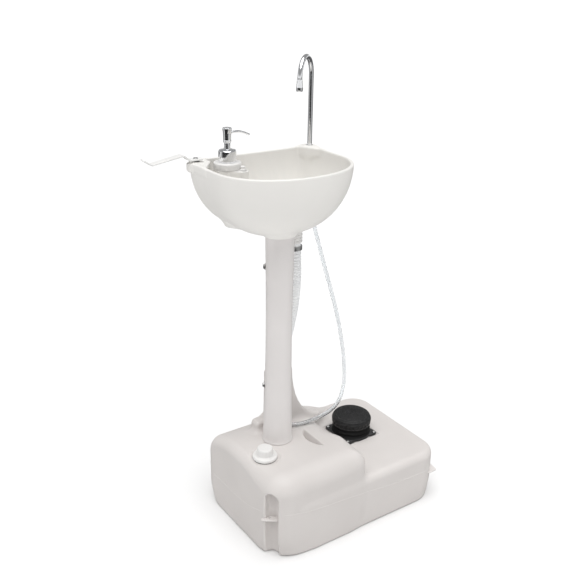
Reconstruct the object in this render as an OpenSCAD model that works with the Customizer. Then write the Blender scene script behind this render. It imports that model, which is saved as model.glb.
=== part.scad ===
// Portable handwash sink: a floor tank with a foot pump, a column, and a basin with a
// gooseneck spout, a soap pump and a towel arm. Sizes are in millimetres.
// Origin: centre of the tank's footprint on the floor. +X runs along the tank towards
// the foot pump, +Y runs away from the user, +Z is up.

/* [Tank] */
// Length of the tank along X
tank_l = 468; // [460:1:476]
// Width of the tank along Y
tank_w = 316; // [310:1:322]
// Height of the raised end, which carries the column
hump_h = 198; // [196:1:200]
// Height of the low end, which carries the foot pump
deck_h = 128; // [126:1:130]
// Radius of the tank's upright corners
corner_r = 52; // [48:1:56]
// Wall thickness of the tank
tank_wall = 3; // [2.5:0.5:3.5]

/* [Column] */
// Height of the column's top end
col_top = 677; // [676:0.5:677.5]
// Outer radius of the column at its foot
col_foot_r = 33; // [32.5:0.5:33.5]
// Outer radius of the column at its waist
col_waist_r = 28; // [27.5:0.5:28.5]
// Outer radius of the column under the basin
col_head_r = 30.2; // [30:0.1:30.5]

/* [Basin] */
// Height of the basin's rim above the floor
rim_z = 824; // [823:1:825]
// Half of the basin's width along X
basin_hw = 150; // [148:1:152]
// Distance from the column's axis to the basin's straight back edge
basin_back = 114; // [113:1:116]
// Distance from the column's axis to the basin's curved front edge
basin_front = 123; // [120:1:126]
// Depth of the bowl's outside below the rim
bowl_depth = 146; // [145:1:147]

/* [Spout] */
// Outer radius of the spout's tube
spout_r = 5; // [4.8:0.1:5]
// Radius of the spout's bend, at the tube's centre
bend_r = 40; // [36:1:42]
// Height of the bend's centre above the floor
bend_z = 974; // [964:1:980]

/* [Hidden] */

// Places of the main axes, each in the tank's frame.
col_x = -127;
pump_x = 101;
pump_y = 18;
cap_x = -191;
cap_y = -48;
plug_x = 4;
plug_y = 80;
pad_z = 181;
port_x = -93;
port_y = 28;
drain_x = -65;
drain_y = 38;
faucet_x = 13;
faucet_y = 100;
soap_x = -213;
soap_y = 60;
refill_x = -194;
refill_y = 33;
well_floor = 699;
well_waist = 740;
well_x = -204;
well_y = 47;
refill_top = 806;
arm_x = -266;
arm_y = 92;
spout_angle = 217.5;

// Tank details.
half_l = tank_l / 2;
half_w = tank_w / 2;
hump_end = 14;
slope_run = 148;
slope_drop = 89;
foot_r = 8;
floor_r = 80;
draft_h = 50;
high_lug_z = 90.5;
low_lug_z = 65.5;
lug_hole_r = 2.2;
dish_floor = hump_h - 3;
filler_r = 18.3;
recess_z = deck_h - 2;
post_r = 24.6;
post_top = 358;
chamber_r = 34;

// Heights of the column's two cross bolts.
low_bolt_z = 332;
high_bolt_z = 608;
bolt_r = 3;
bolt_turn = -34.5;

round_fn = 64;
hull_fn = 32;

// Route of the supply hose, from the barb under the spout to the port behind the column.
supply_r = 4.5;
supply_route = [
    [13, 100, 767.7], [14, 100, 745], [19, 99, 700], [28, 97, 650], [43, 96, 600],
    [60, 95, 545], [76, 94, 495], [92, 93, 445], [105, 91, 395], [115, 88, 345],
    [120, 81, 290], [115, 70, 246], [99, 56, 220], [74, 39, 208], [44, 24, 204.5],
    [12, 15, 203.5], [-20, 11, 203.5], [-46, 11, 203.5], [-66, 16, 203.7], [-80.2, 24.2, 204]];

// Route of the drain hose, from the basin's drain down behind the tank to the floor.
drain_r = 15;
drain_route = [
    [-65, 38, 639.6], [-64.5, 38, 610], [-62, 39, 570], [-62, 41, 530], [-64, 44, 490],
    [-68, 49, 450], [-71, 58, 412], [-71, 74, 378], [-67, 91, 346], [-60, 106, 312],
    [-52, 120, 280], [-42, 134, 254], [-31, 149, 234], [-21, 164, 214], [-13, 176, 186],
    [-9, 182, 150], [-7, 185, 110], [-4, 190, 72], [6, 200, 36], [28, 214, 18],
    [60, 223, 15.2], [100, 226, 15.2], [140, 224, 15.2], [176, 217, 15.2]];

// Route of the outlet tube inside the tank, from the pump's chamber to the port.
outlet_r = 4;
outlet_route = [
    [66, 18, 112], [54, 18, 112], [34, 19, 110], [0, 22, 106], [-40, 26, 106],
    [-70, 27, 112], [-86, 28, 126], [-92, 28, 146], [-93, 28, 166], [-93, 28, 183.7]];

// ---------- helpers ----------

function unit(v) = v / norm(v);

// Point of a smooth curve through the points p, in span i at t from 0 to 1.
function curve_point(p, i, t) =
    let (a = p[max(i - 1, 0)], b = p[i], c = p[i + 1], d = p[min(i + 2, len(p) - 1)])
    0.5 * (2 * b + (c - a) * t + (2 * a - 5 * b + 4 * c - d) * t * t
        + (3 * b - a - 3 * c + d) * t * t * t);

function smooth_route(p, steps) = concat(
    [for (i = [0 : len(p) - 2]) for (k = [0 : steps - 1]) curve_point(p, i, k / steps)],
    [p[len(p) - 1]]);

function direction(p, i) = unit(p[min(i + 1, len(p) - 1)] - p[max(i - 1, 0)]);

// Side vectors along a route, each turned as little as possible from the one before.
function sides_along(p, i, side, found) = i == len(p) ? found :
    let (t = direction(p, i), s = unit(side - (side * t) * t))
    sides_along(p, i + 1, s, concat(found, [s]));

// Round tube of radius r along the points p.
module sweep(p, r, n, first_side) {
    sides = sides_along(p, 0, first_side, []);
    rings = [for (i = [0 : len(p) - 1])
        let (t = direction(p, i), s = sides[i], u = cross(t, s))
        for (k = [0 : n - 1]) p[i] + r * (cos(360 * k / n) * s + sin(360 * k / n) * u)];
    last = (len(p) - 1) * n;
    polyhedron(rings, concat(
        [[for (k = [n - 1 : -1 : 0]) k]],
        [for (i = [0 : len(p) - 2]) for (k = [0 : n - 1])
            [i * n + k, i * n + (k + 1) % n, (i + 1) * n + (k + 1) % n, (i + 1) * n + k]],
        [[for (k = [0 : n - 1]) last + k]]));
}

// Coil spring standing on z = 0.
module coil(r, wire, h, turns) {
    steps = turns * 12;
    sweep([for (i = [0 : steps]) [r * cos(30 * i), r * sin(30 * i), wire + (h - 2 * wire) * i / steps]],
        wire, 6, [1, 0, 0]);
}

// Solid skinned over a stack of outlines with equal numbers of points, lowest first.
module loft(rings) {
    n = len(rings[0]);
    last = (len(rings) - 1) * n;
    polyhedron([for (ring = rings) for (q = ring) q], concat(
        [[for (k = [0 : n - 1]) k]],
        [for (i = [0 : len(rings) - 2]) for (k = [0 : n - 1])
            [i * n + k, (i + 1) * n + k, (i + 1) * n + (k + 1) % n, i * n + (k + 1) % n]],
        [[for (k = [n - 1 : -1 : 0]) last + k]]));
}

module tube(r_out, r_in, h) {
    difference() {
        cylinder(r = r_out, h = h, $fn = round_fn);
        translate([0, 0, -1]) cylinder(r = r_in, h = h + 2, $fn = round_fn);
    }
}

// One upright corner of a block: a post with a rounded foot and a rounded top edge.
module corner_post(r, h, edge, low) {
    translate([0, 0, low + draft_h]) cylinder(r = r, h = h - edge - draft_h - low, $fn = hull_fn);
    for (a = [30 : 30 : 90])
        translate([0, 0, h - edge * (1 - sin(a)) - 0.1])
            cylinder(r = r - edge * (1 - cos(a)), h = 0.1, $fn = hull_fn);
}

// Foot of an upright corner, which is rounder at the floor. sx and sy are its signs, at the outside point x.
module corner_foot(x, sx, sy, inset) {
    translate([x - sx * floor_r, sy * (half_w - floor_r), inset]) {
        cylinder(r = floor_r - foot_r / 2 - inset, h = 0.1, $fn = hull_fn);
        translate([0, 0, foot_r]) cylinder(r = floor_r - inset, h = 0.1, $fn = hull_fn);
    }
}

// Raised end of the tank, shrunk by inset on every side. Its top slopes down to the rear.
module hump(inset) {
    front_r = corner_r - inset;
    right_r = 26 - inset;
    hull() {
        translate([-half_l + corner_r, -half_w + corner_r, 0])
            corner_post(front_r, hump_h - inset, 42 - inset, inset);
        translate([hump_end - 26, -half_w + 26, 0])
            corner_post(right_r, hump_h - inset, 24 - inset, inset);
        rear_post(-half_l + corner_r, corner_r, inset);
        rear_post(hump_end - 26, 26, inset);
        for (sy = [-1, 1]) {
            corner_foot(-half_l, -1, sy, inset);
            corner_foot(hump_end, 1, sy, inset);
        }
    }
}

// One rear corner of the raised end, where the top falls away in a long curve.
module rear_post(x, r, inset) {
    translate([x, half_w - r, 0]) corner_post(r - inset, hump_h - slope_drop, 10, inset);
    for (a = [15 : 15 : 90])
        translate([x, half_w - r - slope_run * (1 - cos(a)), hump_h - inset - slope_drop * (1 - sin(a)) - 0.1])
            cylinder(r = r - inset - 0.26 * r * (1 - cos(a)), h = 0.1, $fn = hull_fn);
}

// Low end of the tank, shrunk by inset on every side.
module deck(inset) {
    r = corner_r - inset;
    hull() for (side = [-1, 1]) {
        translate([half_l - corner_r, side * (half_w - corner_r), 0])
            corner_post(r, deck_h - inset, 18 - inset, inset);
        translate([-half_l + 2 * corner_r, side * (half_w - corner_r), 0])
            corner_post(r, deck_h - inset, 18 - inset, inset);
        corner_foot(half_l, 1, side, inset);
        corner_foot(-half_l + corner_r, -1, side, inset);
    }
}

// Slope at the rear, between the raised end and the low end.
module rear_shoulder() {
    hull() {
        translate([-60, 50, 20]) cube([1, 60, hump_h - 28]);
        translate([30, 70, 20]) cube([1, half_w - 88, hump_h - 46]);
        translate([118, 120, 20]) cube([1, half_w - 138, deck_h - 22]);
    }
}

// Buttress behind the column, drawn in XZ and extruded along Y.
module buttress() {
    translate([0, 70, 0]) rotate([90, 0, 0]) linear_extrude(height = 28)
        polygon(concat(
            [[-157, 180], [-155.5, 212], [-151, 220], [-133, 222], [-122, 230], [-120, 334], [-114, 343], [-104, 348], [-78, 348], [-66, 344]],
            [for (a = [0 : 10 : 90]) [24 - 82 * cos(a), 334 - 140 * sin(a)]],
            [[24, 180]]));
    translate([col_x - 12, 18, 180]) cube([24, 26, 160]);
}

// Half-moon outline of the finger slot, grown by more on every side.
module slot_outline(more) {
    intersection() {
        translate([-24, -43]) circle(r = 52 + more, $fn = round_fn);
        translate([-76 - more, -84 - more]) square([32 + 2 * more, 82 + 2 * more]);
    }
}

module finger_slot(more, depth) {
    translate([0, 0, hump_h - depth]) linear_extrude(height = depth + 1) slot_outline(more);
}

// The four corner grooves: centre of the groove in X and Y, its radius and its top.
corner_list = [[-222.7, -126.3, 15.4, 146], [-213, 148, 21, 146], [236, -118, 17, 92], [236, 118, 17, 92]];

module grooves(more) {
    for (c = corner_list) translate([c[0], c[1], -1]) {
        cylinder(r = c[2] + more, h = c[3] + more + 1, $fn = round_fn);
        translate([0, 0, c[3] + more + 1]) sphere(r = c[2] + more, $fn = round_fn);
    }
}

// Tabs that cross the grooves, each with a hole: outline, hole and height of the underside.
front_left_lug = [[[-196, -100], [-222, -96], [-238, -108], [-240, -112], [-239, -115], [-215, -132],
    [-211, -133], [-190, -134]], [-222, -116], high_lug_z];
rear_left_lug = [[[-214, 118], [-225.5, 127], [-227, 133], [-224, 138.5], [-219, 144], [-212, 150],
    [-203, 154.5], [-192, 157.5], [-180, 157], [-176, 140], [-196, 128]], [-222, 133], high_lug_z];
rear_right_lug = [[[196, 100], [224, 96], [233, 104], [236, 118], [234, 130], [231, 152], [228, 155],
    [208, 156], [190, 140]], [226.9, 116], low_lug_z];

module lug(l) {
    difference() {
        translate([0, 0, l[2]]) linear_extrude(height = 3) polygon(l[0]);
        translate([l[1][0], l[1][1], l[2] - 5]) cylinder(r = lug_hole_r, h = 12, $fn = round_fn);
    }
}

module lugs() {
    lug(front_left_lug);
    lug(rear_left_lug);
    lug(rear_right_lug);
    mirror([0, 1, 0]) lug(rear_right_lug);
}

// Child placed on a cross bolt's axis at height z, out from the column's axis, with +Z pointing inwards.
module bolt_place(out, z) {
    translate([col_x, 0, z]) rotate([0, 0, bolt_turn]) translate([-out, 0, 0]) rotate([0, 90, 0]) children();
}

// ---------- tank ----------

module water_tank() {
    color([0.87, 0.86, 0.84]) difference() {
        union() {
            difference() {
                union() {
                    hump(0);
                    deck(0);
                    rear_shoulder();
                    buttress();
                    translate([col_x, 0, 150]) cylinder(r = post_r, h = post_top - 150, $fn = round_fn);
                }
                grooves(0);
            }
            lugs();
        }
        tank_cavity();
        tank_holes();
    }
}

module tank_cavity() {
    difference() {
        union() {
            hump(tank_wall);
            deck(tank_wall);
        }
        grooves(tank_wall);
        finger_slot(tank_wall, 24 + tank_wall);
        translate([col_x, 0, 150]) tube(post_r, post_r - 4, 60);
        translate([cap_x, cap_y, hump_h - 20]) tube(filler_r + 4, filler_r, 20);
        translate([cap_x, cap_y, dish_floor - tank_wall]) tube(33, filler_r, 10);
        translate([port_x, port_y, hump_h - 12]) tube(10, 5, 12);
        translate([plug_x, plug_y, pad_z - 14]) cylinder(r = 22, h = 20, $fn = round_fn);
        translate([pump_x - 50, pump_y - 50, recess_z - tank_wall]) cube([100, 100, 10]);
    }
}

module tank_holes() {
    translate([col_x, 0, 190]) cylinder(r = post_r - 4, h = post_top, $fn = round_fn);
    bolt_place(40, low_bolt_z) cylinder(r = bolt_r + 0.2, h = 36, $fn = round_fn);
    finger_slot(0, 24);
    translate([cap_x, cap_y, dish_floor]) cylinder(r = 32, h = 10, $fn = round_fn);
    translate([cap_x, cap_y, 150]) cylinder(r = filler_r, h = 60, $fn = round_fn);
    translate([port_x, port_y, 150]) cylinder(r = 5.2, h = 60, $fn = round_fn);
    translate([plug_x, plug_y, pad_z - 8]) cylinder(r = 17.4, h = 8.1, $fn = round_fn);
    translate([plug_x, plug_y, pad_z]) cylinder(r = 19.5, h = 20, $fn = round_fn);
    translate([-163, -3, 190]) cylinder(r = 1.5, h = 20, $fn = round_fn);
    translate([pump_x - 48, pump_y - 48, recess_z]) cube([96, 96, 80]);
    translate([pump_x, pump_y, 100]) cylinder(r = chamber_r + 1, h = 40, $fn = round_fn);
    pump_screw_places() translate([0, 0, 100]) cylinder(r = 1.8, h = 40, $fn = round_fn);
}

module access_plug() {
    color([0.9, 0.88, 0.87]) translate([plug_x, plug_y, pad_z - 8]) {
        cylinder(r = 17, h = 8, $fn = round_fn);
        translate([0, 0, 8]) cylinder(r1 = 17, r2 = 15, h = 2, $fn = round_fn);
    }
}

module tank_cap() {
    color([0.93, 0.92, 0.9]) translate([cap_x, cap_y, dish_floor + 1.6]) {
        difference() {
            union() {
                cylinder(r = 27, h = 5.5, $fn = round_fn);
                translate([0, 0, 5.5]) cylinder(r1 = 25, r2 = 22, h = 1.5, $fn = round_fn);
                cylinder(r = 17.5, h = 22, $fn = round_fn);
                translate([0, 0, 22]) cylinder(r1 = 17.5, r2 = 15, h = 2.5, $fn = round_fn);
                translate([0, 0, -15]) cylinder(r = 18.2, h = 16, $fn = round_fn);
            }
            translate([0, 0, -16]) cylinder(r = 15, h = 34, $fn = round_fn);
        }
    }
}

module cap_gasket() {
    color([0.2, 0.2, 0.2]) translate([cap_x, cap_y, dish_floor]) tube(25.5, 18.6, 1.6);
}

// ---------- column ----------

function column_r(z) = let (foot = hump_h + 1, t = (z - foot) / (col_top - foot), m = 0.56)
    t < m ? col_waist_r + (col_foot_r - col_waist_r) * pow(1 - t / m, 2)
        : col_waist_r + (col_head_r - col_waist_r) * pow((t - m) / (1 - m), 2);

module column_profile(wall) {
    foot = hump_h + 1;
    steps = 16;
    zs = [for (i = [0 : steps]) foot + (col_top - foot) * i / steps];
    polygon(concat(
        [for (z = zs) [column_r(z), z]],
        [for (i = [steps : -1 : 0]) [column_r(zs[i]) - wall, zs[i]]]));
}

module column() {
    color([0.86, 0.84, 0.83]) difference() {
        translate([col_x, 0, 0]) {
            rotate_extrude($fn = round_fn) column_profile(2.4);
            translate([0, 0, hump_h + 0.3]) tube(col_foot_r + 0.6, col_foot_r - 2.8, 3);
        }
        translate([col_x - 14, 18, hump_h]) cube([28, 30, 150]);
        for (z = [low_bolt_z, high_bolt_z])
            bolt_place(50, z) cylinder(r = bolt_r + 0.2, h = 45, $fn = round_fn);
    }
}

// Each cross bolt's height, the distance of its head's seat from the column's axis, and its nut's.
bolt_list = [[low_bolt_z, 29.6, 19.1], [high_bolt_z, 29.3, 20.9]];

// Child placed at a cross bolt's seat, with +Z along the bolt from its head.
module bolt_at(b, seat) {
    bolt_place(seat, b[0]) children();
}

module column_bolts() {
    color("silver") for (b = bolt_list) bolt_at(b, b[1]) {
        translate([0, 0, -1.4]) cylinder(r = bolt_r, h = 20, $fn = round_fn);
        translate([0, 0, -1.8]) cylinder(r = 5, h = 0.5, $fn = round_fn);
        translate([0, 0, -4.8]) cylinder(r = 5, h = 3.1, $fn = 6);
    }
}

module column_washers() {
    color("silver") for (b = bolt_list) {
        bolt_at(b, b[1]) translate([0, 0, -1.2]) tube(7, bolt_r + 0.1, 1.1);
        bolt_at(b, b[2]) tube(7, bolt_r + 0.1, 1.1);
    }
}

module column_nuts() {
    color("silver") for (b = bolt_list) bolt_at(b, b[2]) translate([0, 0, 1.2]) difference() {
        cylinder(r = 5.6, h = 5, $fn = 6);
        translate([0, 0, -1]) cylinder(r = bolt_r + 0.05, h = 7, $fn = round_fn);
    }
}

// ---------- basin ----------

// D-shaped outline about the column's axis: straight back, round corners, curved front.
function d_outline(hw, back, front, r) = concat(
    [for (a = [0 : 18 : 90]) [hw - r + r * cos(a), back - r + r * sin(a)]],
    [for (a = [90 : 18 : 180]) [-hw + r + r * cos(a), back - r + r * sin(a)]],
    [for (a = [186 : 6 : 354])
        [hw * sign(cos(a)) * pow(abs(cos(a)), 0.94), -front * pow(abs(sin(a)), 0.94)]]);

// Outline scaled by s towards the point c, at height z. Its left side is scaled less, by the share left.
function bowl_ring(outline, s, c, z, left = 0) = [for (q = outline)
    let (k = pow(s, 1 - left * max(0, -q[0] / basin_hw)))
    [col_x + c[0] + (q[0] - c[0]) * k, c[1] + (q[1] - c[1]) * k, z]];

function bowl_rings(outline, c, depth, top, full, left = 0) = [for (a = [84 : -9.25 : 10])
    bowl_ring(outline, pow(cos(a), full), c, top - depth * sin(a), left)];

outer_outline = d_outline(basin_hw, basin_back, basin_front, 22);
inner_outline = d_outline(basin_hw - 7, basin_back - 7, basin_front - 7, 20);
outer_centre = [10, 20];
inner_centre = [52, 34];
inner_depth = 126;

module bowl_outer() {
    loft(concat(bowl_rings(outer_outline, outer_centre, bowl_depth, rim_z, 0.92, 0.15),
        [bowl_ring(outer_outline, 1, outer_centre, rim_z - 8), bowl_ring(outer_outline, 1, outer_centre, rim_z)]));
}

module bowl_inner() {
    loft(concat(bowl_rings(inner_outline, inner_centre, inner_depth, rim_z, 1),
        [bowl_ring(inner_outline, 1, inner_centre, rim_z - 6), bowl_ring(inner_outline, 1, inner_centre, rim_z + 4)]));
}

// Plan of the soap well: a large round end for the pump and a small one for the refill plug.
module soap_well(more, low, high) {
    hull() {
        translate([soap_x, soap_y, well_waist]) cylinder(r = 22.5 + more, h = high - well_waist, $fn = hull_fn);
        translate([refill_x, refill_y, well_waist]) cylinder(r = 7.5 + more, h = high - well_waist, $fn = hull_fn);
        translate([well_x, well_y, low]) cylinder(r = 13 + more, h = 1, $fn = hull_fn);
    }
}

// Ear at the basin's rear left corner, under the towel arm's pivot.
module arm_ear() {
    hull() {
        translate([arm_x - 2, arm_y + 1, rim_z - 16]) cylinder(r = 16, h = 15, $fn = hull_fn);
        translate([arm_x + 1, arm_y - 2, rim_z - 20]) cylinder(r = 12, h = 4, $fn = hull_fn);
    }
}

module basin() {
    color([0.92, 0.91, 0.89]) difference() {
        union() {
            difference() {
                bowl_outer();
                difference() {
                    bowl_inner();
                    soap_well(4, well_floor - 3, refill_top - 3);
                    translate([faucet_x, faucet_y, 700]) cylinder(r = 17, h = 130, $fn = round_fn);
                    translate([soap_x, soap_y, 760]) cylinder(r = 27.6, h = 100, $fn = round_fn);
                    translate([0, 0, rim_z - 18]) linear_extrude(height = 30)
                        polygon([[-24, 130], [40, 130], [40, 26]]);
                    translate([0, 0, rim_z - 14]) linear_extrude(height = 30)
                        polygon([[-300, 66], [-252, 66], [-240, 82], [-240, 130], [-300, 130]]);
                }
            }
            soap_well(4, well_floor - 3, refill_top - 20);
            translate([col_x, 0, 585]) cylinder(r = 25.4, h = 104, $fn = round_fn);
            translate([drain_x, drain_y, 678]) cylinder(r = 25, h = 20, $fn = round_fn);
            translate([arm_x, arm_y, rim_z - 8]) cylinder(r = 9, h = 9.5, $fn = round_fn);
            arm_ear();
        }
        soap_well(0.5, well_floor, 860);
        translate([col_x, 0, 580]) cylinder(r = 22.4, h = 92, $fn = round_fn);
        bolt_place(40, high_bolt_z) cylinder(r = bolt_r + 0.2, h = 36, $fn = round_fn);
        translate([drain_x, drain_y, 660]) cylinder(r = 15.5, h = 50, $fn = round_fn);
        translate([drain_x, drain_y, 697]) cylinder(r = 22.5, h = 20, $fn = round_fn);
        translate([faucet_x, faucet_y, 780]) cylinder(r = 7, h = 60, $fn = round_fn);
        translate([faucet_x, faucet_y, 700]) cylinder(r = 12, h = rim_z - 18 - 700, $fn = round_fn);
        translate([arm_x, arm_y, rim_z - 12]) cylinder(r = 2, h = 20, $fn = round_fn);
    }
}

// ---------- drain ----------

module drain_strainer() {
    color("silver") translate([drain_x, drain_y, 0]) {
        translate([0, 0, 697.2]) tube(22, 13, 2);
        translate([0, 0, 660]) tube(15, 13, 37.5);
        for (a = [0 : 60 : 120])
            rotate([0, 0, a]) translate([-13.2, -1, 697.2]) cube([26.4, 2, 1.6]);
    }
}

module drain_gasket() {
    color([0.2, 0.2, 0.2]) translate([drain_x, drain_y, 676]) tube(22, 15.2, 2);
}

module drain_nut() {
    color([0.9, 0.9, 0.88]) translate([drain_x, drain_y, 668]) difference() {
        union() {
            cylinder(r = 21, h = 8, $fn = round_fn);
            for (a = [0 : 60 : 300]) rotate([0, 0, a]) translate([19, -3, 0]) cube([4.5, 6, 7]);
        }
        translate([0, 0, -1]) cylinder(r = 15.1, h = 10, $fn = round_fn);
    }
}

module drain_tail() {
    color([0.9, 0.9, 0.88]) translate([drain_x, drain_y, 0]) {
        translate([0, 0, 644]) tube(17.5, 15.1, 23.5);
        translate([0, 0, 640]) tube(17.5, 11.5, 4);
    }
}

module drain_hose() {
    color([0.95, 0.95, 0.95]) sweep(smooth_route(drain_route, 2), drain_r, 10, [1, 0, 0]);
}

module drain_clamp() {
    color("silver") translate([drain_x + 0.3, drain_y, 624]) {
        tube(16.9, 15.6, 9);
        translate([16, -3, 0]) cube([7, 6, 9]);
    }
}

// ---------- faucet ----------

module faucet_body() {
    color([0.92, 0.92, 0.9]) translate([faucet_x, faucet_y, 0]) {
        translate([0, 0, 825.2]) tube(9.5, spout_r + 0.06, 4);
        translate([0, 0, 788]) tube(6.8, spout_r + 0.06, 37.4);
        translate([0, 0, 783]) tube(6.8, 2.5, 5);
        translate([0, 0, 768]) tube(supply_r, 2.5, 15.2);
    }
}

module faucet_gasket() {
    color([0.2, 0.2, 0.2]) translate([faucet_x, faucet_y, rim_z]) tube(9.5, 7, 1.2);
}

module faucet_nut() {
    color([0.9, 0.9, 0.88]) translate([faucet_x, faucet_y, rim_z - 26]) difference() {
        cylinder(r = 10.5, h = 8, $fn = 6);
        translate([0, 0, -1]) cylinder(r = 6.85, h = 10, $fn = round_fn);
    }
}

module spout_seal() {
    color([0.15, 0.15, 0.15]) translate([faucet_x, faucet_y, 829.2]) tube(7.4, spout_r + 0.06, 2.4);
}

module faucet_spout() {
    color("silver") translate([faucet_x, faucet_y, 0]) rotate([0, 0, spout_angle]) {
        translate([0, 0, 790]) tube(spout_r, spout_r - 1, bend_z - 790);
        translate([bend_r, 0, bend_z]) rotate([90, 0, 0]) rotate_extrude(angle = 180, $fn = 96)
            translate([bend_r, 0]) difference() {
                circle(r = spout_r, $fn = round_fn);
                circle(r = spout_r - 1, $fn = round_fn);
            }
    }
}

module faucet_nozzle() {
    color("silver") translate([faucet_x, faucet_y, 0]) rotate([0, 0, spout_angle])
        translate([2 * bend_r, 0, bend_z - 24]) rotate_extrude($fn = round_fn)
            polygon([[4, 0], [6, 0], [6.8, 3], [6.8, 8], [6.3, 13], [5.7, 19], [5.5, 23.9],
                [4, 23.9]]);
}

// ---------- supply hose and port ----------

module supply_hose() {
    color([0.9, 0.92, 0.93]) sweep(smooth_route(supply_route, 3), supply_r, 10, [1, 0, 0]);
}

module supply_clips() {
    color("silver") {
        translate([faucet_x + 0.3, faucet_y, 758]) tube(5.9, 5, 5);
        translate([-80.2, 24.2, 204]) rotate([0, 90, -29.6]) translate([0, 0, 1.5]) tube(5.9, 5, 5);
    }
}

module port_fitting() {
    color([0.9, 0.9, 0.88]) translate([port_x, port_y, 0]) {
        translate([0, 0, hump_h + 1]) cylinder(r = 9, h = 1.6, $fn = round_fn);
        translate([0, 0, hump_h - 14]) cylinder(r = 5, h = 24, $fn = round_fn);
        translate([0, 0, 204]) rotate([0, 90, -16])
            cylinder(r = supply_r - 0.3, h = 12, $fn = round_fn);
    }
}

module port_gasket() {
    color([0.2, 0.2, 0.2]) translate([port_x, port_y, hump_h]) tube(8.5, 5.2, 1);
}

module outlet_tube() {
    color([0.9, 0.92, 0.93]) sweep(smooth_route(outlet_route, 2), outlet_r, 8, [0, 1, 0]);
}

// ---------- foot pump ----------

module pump_screw_places() {
    for (sx = [-1, 1]) for (sy = [-1, 1]) translate([pump_x + 39.5 * sx, pump_y + 39.5 * sy, 0]) children();
}

module pump_base() {
    color([0.1, 0.1, 0.1]) difference() {
        union() {
            translate([pump_x, pump_y, recess_z + 1]) linear_extrude(height = 5) {
                circle(r = 48, $fn = round_fn);
                for (a = [45 : 90 : 315]) rotate([0, 0, a])
                    polygon([[30, -24], [54, -10], [63, 0], [54, 10], [30, 24]]);
            }
            translate([pump_x, pump_y, 96]) cylinder(r = chamber_r, h = 34, $fn = round_fn);
        }
        translate([pump_x, pump_y, 99]) cylinder(r = chamber_r - 3, h = 60, $fn = round_fn);
        translate([pump_x, pump_y, 90]) cylinder(r = 5.2, h = 20, $fn = round_fn);
        translate([pump_x - 45, pump_y, 112]) rotate([0, 90, 0]) cylinder(r = 4.4, h = 30, $fn = round_fn);
        pump_screw_places() translate([0, 0, 110]) cylinder(r = 2.1, h = 40, $fn = round_fn);
    }
}

module pump_gasket() {
    color([0.25, 0.25, 0.25]) translate([pump_x, pump_y, recess_z]) tube(46, chamber_r + 1, 1);
}

module pump_screws() {
    color("silver") pump_screw_places() {
        translate([0, 0, recess_z - 6]) cylinder(r = 1.7, h = 12.2, $fn = 24);
        translate([0, 0, recess_z + 6.1]) cylinder(r1 = 3.6, r2 = 2.4, h = 1.8, $fn = 32);
    }
}

module inlet_valve() {
    color([0.3, 0.3, 0.3]) translate([pump_x, pump_y, 99]) {
        cylinder(r = 8, h = 1.2, $fn = 32);
        translate([0, 0, 1.2]) cylinder(r1 = 3, r2 = 1.5, h = 3, $fn = 32);
    }
}

module outlet_valve() {
    color([0.3, 0.3, 0.3]) translate([pump_x - 30.3, pump_y, 112]) rotate([0, 90, 0])
        cylinder(r = 6, h = 1.2, $fn = 32);
}

module pickup_tube() {
    color([0.9, 0.92, 0.93]) translate([pump_x, pump_y, 14]) tube(5, 3.5, 84);
}

module pickup_filter() {
    color([0.85, 0.85, 0.85]) translate([pump_x, pump_y, 4]) difference() {
        cylinder(r = 9, h = 16, $fn = round_fn);
        translate([0, 0, 10]) cylinder(r = 5.1, h = 10, $fn = round_fn);
        for (a = [0 : 45 : 315]) rotate([0, 0, a]) translate([5, -1, 1.5]) cube([8, 2, 6]);
        translate([0, 0, 1.5]) cylinder(r = 6, h = 12, $fn = round_fn);
    }
}

module pump_bellows() {
    color([0.12, 0.12, 0.12]) translate([pump_x, pump_y, recess_z + 6]) rotate_extrude($fn = round_fn)
        polygon([[38, 0], [47, 0], [47, 2], [41.5, 7], [46.5, 12], [41.5, 17], [44, 22], [44, 24],
            [36, 24], [36, 22], [42, 22], [39, 17], [44, 12], [39, 7], [43, 2], [38, 2]]);
}

module pump_spring() {
    color("silver") translate([pump_x, pump_y, 101]) coil(22, 1.2, 72, 6);
}

module pump_tread() {
    color([0.08, 0.08, 0.08]) translate([pump_x, pump_y, recess_z + 30]) difference() {
        union() {
            cylinder(r = 44, h = 12, $fn = round_fn);
            translate([0, 0, 12]) cylinder(r1 = 44, r2 = 38, h = 6, $fn = round_fn);
            translate([0, 0, 18]) cylinder(r1 = 38, r2 = 30, h = 2.5, $fn = round_fn);
            for (a = [0 : 15 : 345]) rotate([0, 0, a]) translate([42.5, -1.5, 0]) cube([2.6, 3, 11]);
        }
        translate([0, 0, -1]) cylinder(r = 40, h = 13.5, $fn = round_fn);
        translate([0, 0, 12.4]) cylinder(r1 = 40, r2 = 30, h = 5, $fn = round_fn);
        for (r = [10, 18, 26])
            translate([0, 0, 19.7]) tube(r + 2, r, 3);
    }
}

// ---------- soap pump ----------

module soap_bottle() {
    color([0.93, 0.93, 0.92]) difference() {
        union() {
            soap_well(0, well_floor + 1, refill_top - 2);
            translate([soap_x, soap_y, refill_top - 10]) cylinder(r = 22.5, h = rim_z - refill_top + 11, $fn = round_fn);
            translate([soap_x, soap_y, rim_z + 0.2]) cylinder(r = 27.5, h = 3, $fn = round_fn);
            translate([soap_x, soap_y, rim_z]) cylinder(r = 13, h = 22, $fn = round_fn);
        }
        soap_well(-2, well_floor + 3, refill_top - 4);
        translate([soap_x, soap_y, 780]) cylinder(r = 10, h = 80, $fn = round_fn);
        translate([refill_x, refill_y, 790]) cylinder(r = 5, h = 40, $fn = round_fn);
    }
}

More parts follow.
